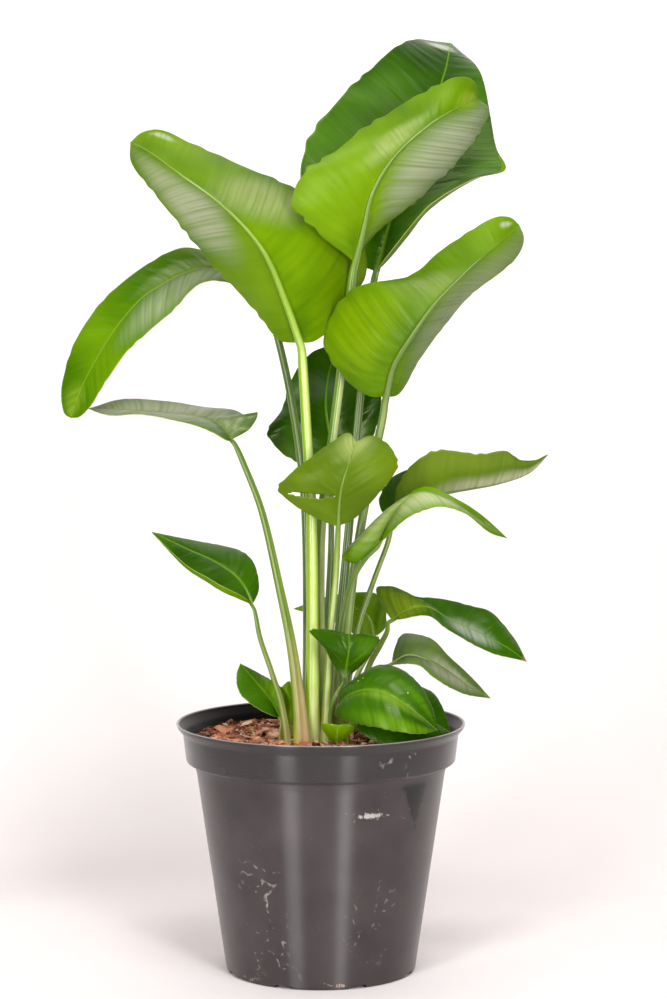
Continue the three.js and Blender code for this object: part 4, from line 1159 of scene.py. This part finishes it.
# Small leaf under it, turned so that its waxy underside shows.
lowest_right_under = leaf_face("leaf_underside_lowest_right", **young_under, patches=[
    # The first patch darkens the whole blade to grey-green; the two pale ones over it are painted sheen.
    (0.0, 0.5, 2.0, 1.2, "64744c", 0.9),
    (0.2, 0.55, 0.8, 0.4, "c6c2ac", 0.85),
    (-0.9, 0.3, 0.5, 0.3, "9aa084", 0.7),
])
grow_leaf(
    "lowest_right", thick=(6, 4),
    stalk=[(39, 12, 233), (51, 12, 251)],
    rib=[(61, 10, 264), (76, 6, 273), (94, 0, 269), (112, -4, 259), (129, -6, 247), (146, -4, 237)],
    left=[(64, 18, 278), (71, 22, 290), (96, 12, 287), (110, 4, 272), (128, 0, 255)],
    right=[(68, -4, 266), (84, -14, 266), (98, -18, 256), (124, -12, 242)],
    bulge=(0.10, 0.08),
    shows="underside", faces=(lowest_right_under, upper_deep), skin=stalk_deep, wave=1.6, depth=0.3,
)
# Small cupped leaf in front of the stalks.
small_centre_upper = leaf_face("leaf_upper_side_small_centre", **mature_upper, patches=[
    # The pale patch at the foot of the blade is painted sheen; the other is brighter green.
    (0.0, 0.0, 0.9, 0.3, "c8ccae", 0.85),
    (0.6, 0.6, 0.5, 0.3, "5c8c10", 0.6),
])
grow_leaf(
    "small_centre", thick=(4.5, 3.2),
    stalk=[(8, -47, 229), (13, -49, 247)],
    rib=[(20, -48, 260), (22, -58, 274), (24, -64, 288), (24, -60, 300)],
    left=[(10, -50, 274), (3, -50, 288), (-9, -44, 301), (6, -50, 303)],
    right=[(34, -50, 272), (44, -50, 284), (50, -44, 295), (38, -52, 299)],
    bulge=(0.10, 0.10),
    shows="upper", faces=(under_bright, small_centre_upper), skin=stalk_dark, wave=0.6, rings=60,
    sheath=(10, 1.2),
)
# Dark glossy leaf that arches over the front of the rim.
front_low_right_upper = leaf_face("leaf_upper_side_flecked", **mature_upper, flecks=0.12, patches=[
    (0.1, 0.5, 0.3, 0.5, "86ac28", 0.6),
    (0.8, 0.6, 0.4, 0.5, "6c9c10", 0.7),
    (-0.5, 0.7, 0.3, 0.3, "5c9010", 0.6),
])
grow_leaf(
    "front_low_right", thick=(6, 4),
    stalk=[(22, -32, 214), (17, -44, 230)],
    rib=[(16, -54, 240), (25, -62, 249), (40, -72, 255), (58, -80, 252), (72, -84, 243), (98, -82, 222)],
    left=[(18, -50, 251), (32, -50, 264), (48, -52, 273), (64, -56, 272), (82, -64, 259), (94, -74, 238)],
    right=[(12, -66, 233), (26, -80, 229), (44, -92, 226), (64, -98, 223), (84, -94, 221)],
    bulge=(0.12, 0.10),
    shows="upper", faces=(under_bright, front_low_right_upper), skin=stalk_fresh, wave=0.9, rings=60,
    sheath=(10, 1.2),
)
# Leaf half hidden under the one before.
grow_leaf(
    "under_right", thick=(5, 3.5),
    stalk=[(22, -49, 211), (23, -53, 219)],
    rib=[(30, -58, 224), (49, -60, 226), (76, -56, 226), (96, -46, 222), (110, -42, 214)],
    left=[(36, -42, 232), (54, -30, 242), (76, -24, 250), (94, -28, 246), (106, -36, 228)],
    right=[(36, -66, 216), (52, -72, 210), (74, -74, 208), (98, -58, 209)],
    bulge=(0.10, 0.08),
    shows="upper", faces=(under_bright, upper_deep), skin=stalk_fresh, wave=0.8, rings=60, sheath=(10, 1.2),
)
# Smallest leaf, at the front of the mix.
grow_leaf(
    "tiny_front", thick=(4, 2.5),
    stalk=[(14, -55, 204)],
    rib=[(14, -57, 207), (14, -64, 216), (15, -66, 224)],
    left=[(6, -60, 213), (1, -61, 224), (8, -65, 225)],
    right=[(22, -61, 213), (29, -64, 223), (21, -66, 225)],
    bulge=(0.10, 0.10),
    shows="upper", faces=(young_bright, young_bright), skin=stalk_fresh, wave=0.3, facets=(32, 40),
    rings=40, sheath=(8, 1.2),
)
# Leaf at the foot of the clump on the left.
base_left_upper = leaf_face("leaf_upper_side_base_left", **mature_upper, patches=[
    (0.4, 0.4, 0.8, 0.5, "6c9410", 0.7),
])
grow_leaf(
    "base_left", thick=(5, 3.5),
    stalk=[(-34, -28, 211)],
    rib=[(-35, -26, 224), (-43, -22, 238), (-55, -20, 253), (-69, -22, 270)],
    left=[(-43, -32, 227), (-57, -35, 235), (-69, -32, 246), (-72, -26, 260)],
    right=[(-30, -18, 238), (-35, -10, 249), (-50, -8, 258)],
    bulge=(0.04, 0.03),
    shows="upper", faces=(under_bright, base_left_upper), skin=stalk_fresh, wave=0.8, rings=50,
    sheath=(10, 1.2),
)
# Young yellow-green leaf beside it, still half rolled.
grow_leaf(
    "base_left_young", thick=(5, 4),
    stalk=[(-24, -12, 206)],
    rib=[(-25, -12, 213), (-29, -11, 230), (-34, -7, 247)],
    left=[(-30, -10, 220), (-34, -8, 234)],
    right=[(-22, -10, 222), (-23, -7, 240), (-27, -5, 252)],
    bulge=(0.25, 0.25),
    shows="upper", faces=(young_bright, young_bright), skin=stalk_yellow, wave=0.3, facets=(32, 60),
    rings=50, sheath=(10, 1.2),
)
# Leaf low at the back, seen between the stalks.
grow_leaf(
    "behind_low", thick=(6, 4),
    stalk=[(34, 36, 256), (44, 40, 272)],
    rib=[(47, 42, 284), (43, 48, 300), (27, 56, 309), (0, 60, 309), (-24, 60, 307)],
    left=[(36, 46, 278), (24, 52, 290), (-4, 58, 301)],
    right=[(56, 42, 292), (57, 44, 308), (52, 48, 320), (28, 62, 321), (2, 64, 316)],
    bulge=(0.10, 0.10),
    shows="underside", faces=(under_bright, upper_deep), skin=stalk_fresh, wave=0.8,
)


# ---------------------------------------------------------------------------
# Studio: a round sheet of pale paper for the floor, a pale paper wall behind
# the pot that only shows from the front and curves down into the floor, strip
# lights on both sides, a light on the wall and one overhead, and the camera.
# ---------------------------------------------------------------------------

# In metres.
FLOOR_RADIUS = 2.6
WALL_AWAY = 0.8
WALL_HALF_WIDTH = 6
WALL_RISE = 4
COVE_RADIUS = 0.5
OVER_FLOOR = 0.5 * MM  # the wall's lower edge lies this far above the floor


def matt_paper(name, one_sided):
    """Matt pale paper, very slightly mottled. A one-sided sheet lets everything through from behind."""
    material, tree = new_material(name)
    spot = add_node(tree, "TexCoord").outputs["Object"]
    mottle = add_node(tree, "TexNoise", {"Vector": spot, "Scale": per_metre(333.3), "Detail": 2.0})
    tint = add_node(tree, "ValToRGB", {"Fac": mottle}, [(0.0, srgb("e8e2e1")), (1.0, srgb("f2eceb"))])
    shown = add_node(tree, "BsdfPrincipled", {"Base Color": tint, "Roughness": 0.9})
    if one_sided:
        back = add_node(tree, "NewGeometry").outputs["Backfacing"]
        shown = add_node(tree, "MixShader", {0: back, 1: shown, 2: add_node(tree, "BsdfTransparent")})
    add_node(tree, "OutputMaterial", {"Surface": shown})
    return material


ground = bmesh.new()
bmesh.ops.create_circle(ground, cap_ends=True, segments=96, radius=FLOOR_RADIUS)
ground_mesh = bpy.data.meshes.new("studio_floor")
ground.to_mesh(ground_mesh)
ground.free()
floor = new_piece("studio_floor", ground_mesh, [matt_paper("floor_paper_matt", False)])

hanging = bmesh.new()
lower_ends = [(x, WALL_AWAY - COVE_RADIUS, OVER_FLOOR) for x in (-WALL_HALF_WIDTH, WALL_HALF_WIDTH)]
hanging.edges.new([hanging.verts.new(end) for end in lower_ends])
bmesh.ops.spin(
    hanging, geom=hanging.verts[:] + hanging.edges[:], cent=(0, WALL_AWAY - COVE_RADIUS, COVE_RADIUS),
    axis=(1, 0, 0), angle=math.pi / 2, steps=24,
)
open_edges = [edge for edge in hanging.edges if edge.is_boundary]
top_edge = max(open_edges, key=lambda edge: min(vert.co.z for vert in edge.verts))
raised = bmesh.ops.extrude_edge_only(hanging, edges=[top_edge])["geom"]
raised_verts = [part for part in raised if isinstance(part, bmesh.types.BMVert)]
bmesh.ops.translate(hanging, vec=(0, 0, WALL_RISE), verts=raised_verts)
bmesh.ops.recalc_face_normals(hanging, faces=hanging.faces[:])
if sum(face.normal.y for face in hanging.faces) > 0:
    bmesh.ops.reverse_faces(hanging, faces=hanging.faces[:])
wall_mesh = bpy.data.meshes.new("studio_wall")
hanging.to_mesh(wall_mesh)
hanging.free()
wall_mesh.shade_smooth()
wall = new_piece("studio_wall", wall_mesh, [matt_paper("wall_paper_matt", True)])


def soft_box(name, place, aim, size, power):
    light = bpy.data.lights.new(name, "AREA")
    light.shape = "RECTANGLE"
    light.size, light.size_y = size
    light.energy = power
    box = bpy.data.objects.new(name, light)
    box.location = place
    box.rotation_euler = (Vector(aim) - Vector(place)).to_track_quat("-Z", "Y").to_euler()
    bpy.context.scene.collection.objects.link(box)


soft_box("strip_box_left", (-1.2, -2.31, 0.98), (0, 0, 0.9), (0.6, 1.9), 52)
soft_box("strip_box_right", (1.02, -2.4, 0.98), (0, 0, 0.9), (0.5, 1.9), 50)
soft_box("wall_light", (0, -0.2, 2.5), (0, 0.6, 0.0), (2.4, 0.4), 11)
soft_box("soft_box_top", (0.25, -1.0, 2.1), (0, 0.05, 0.5), (0.8, 0.5), 20)

# The room is dim, so that gloss comes from the soft boxes alone, but it shows as pale as the paper.
ROOM_LIGHT = 0.14
ROOM_SHOWN = 1.0
studio = bpy.data.worlds.new("studio_light")
studio.use_nodes = True
studio.node_tree.nodes.clear()
seen = add_node(studio.node_tree, "LightPath").outputs["Is Camera Ray"]
strength = add_node(studio.node_tree, "Mix", {0: seen, 2: ROOM_LIGHT, 3: ROOM_SHOWN}, data_type="FLOAT")
room = add_node(studio.node_tree, "Background", {"Color": srgb("fbf4f0"), "Strength": strength})
add_node(studio.node_tree, "OutputWorld", {"Surface": room})
bpy.context.scene.world = studio
bpy.context.scene.view_settings.view_transform = "Standard"

# Worked out from the ellipses of the pot's lip and foot in the photo.
CAMERA_PLACE = (0.011, -2.5, 0.626)
CAMERA_TILT = 4.96  # degrees below level
FOCAL_LENGTH = 105.2  # mm, on a sensor 36 mm high
SENSOR_SIZE = 36

view = bpy.data.cameras.new("photo_camera")
view.lens = FOCAL_LENGTH
view.sensor_width = SENSOR_SIZE
camera = bpy.data.objects.new("photo_camera", view)
camera.location = CAMERA_PLACE
camera.rotation_euler = (math.radians(90 - CAMERA_TILT), 0, 0)
bpy.context.scene.collection.objects.link(camera)
bpy.context.scene.camera = camera
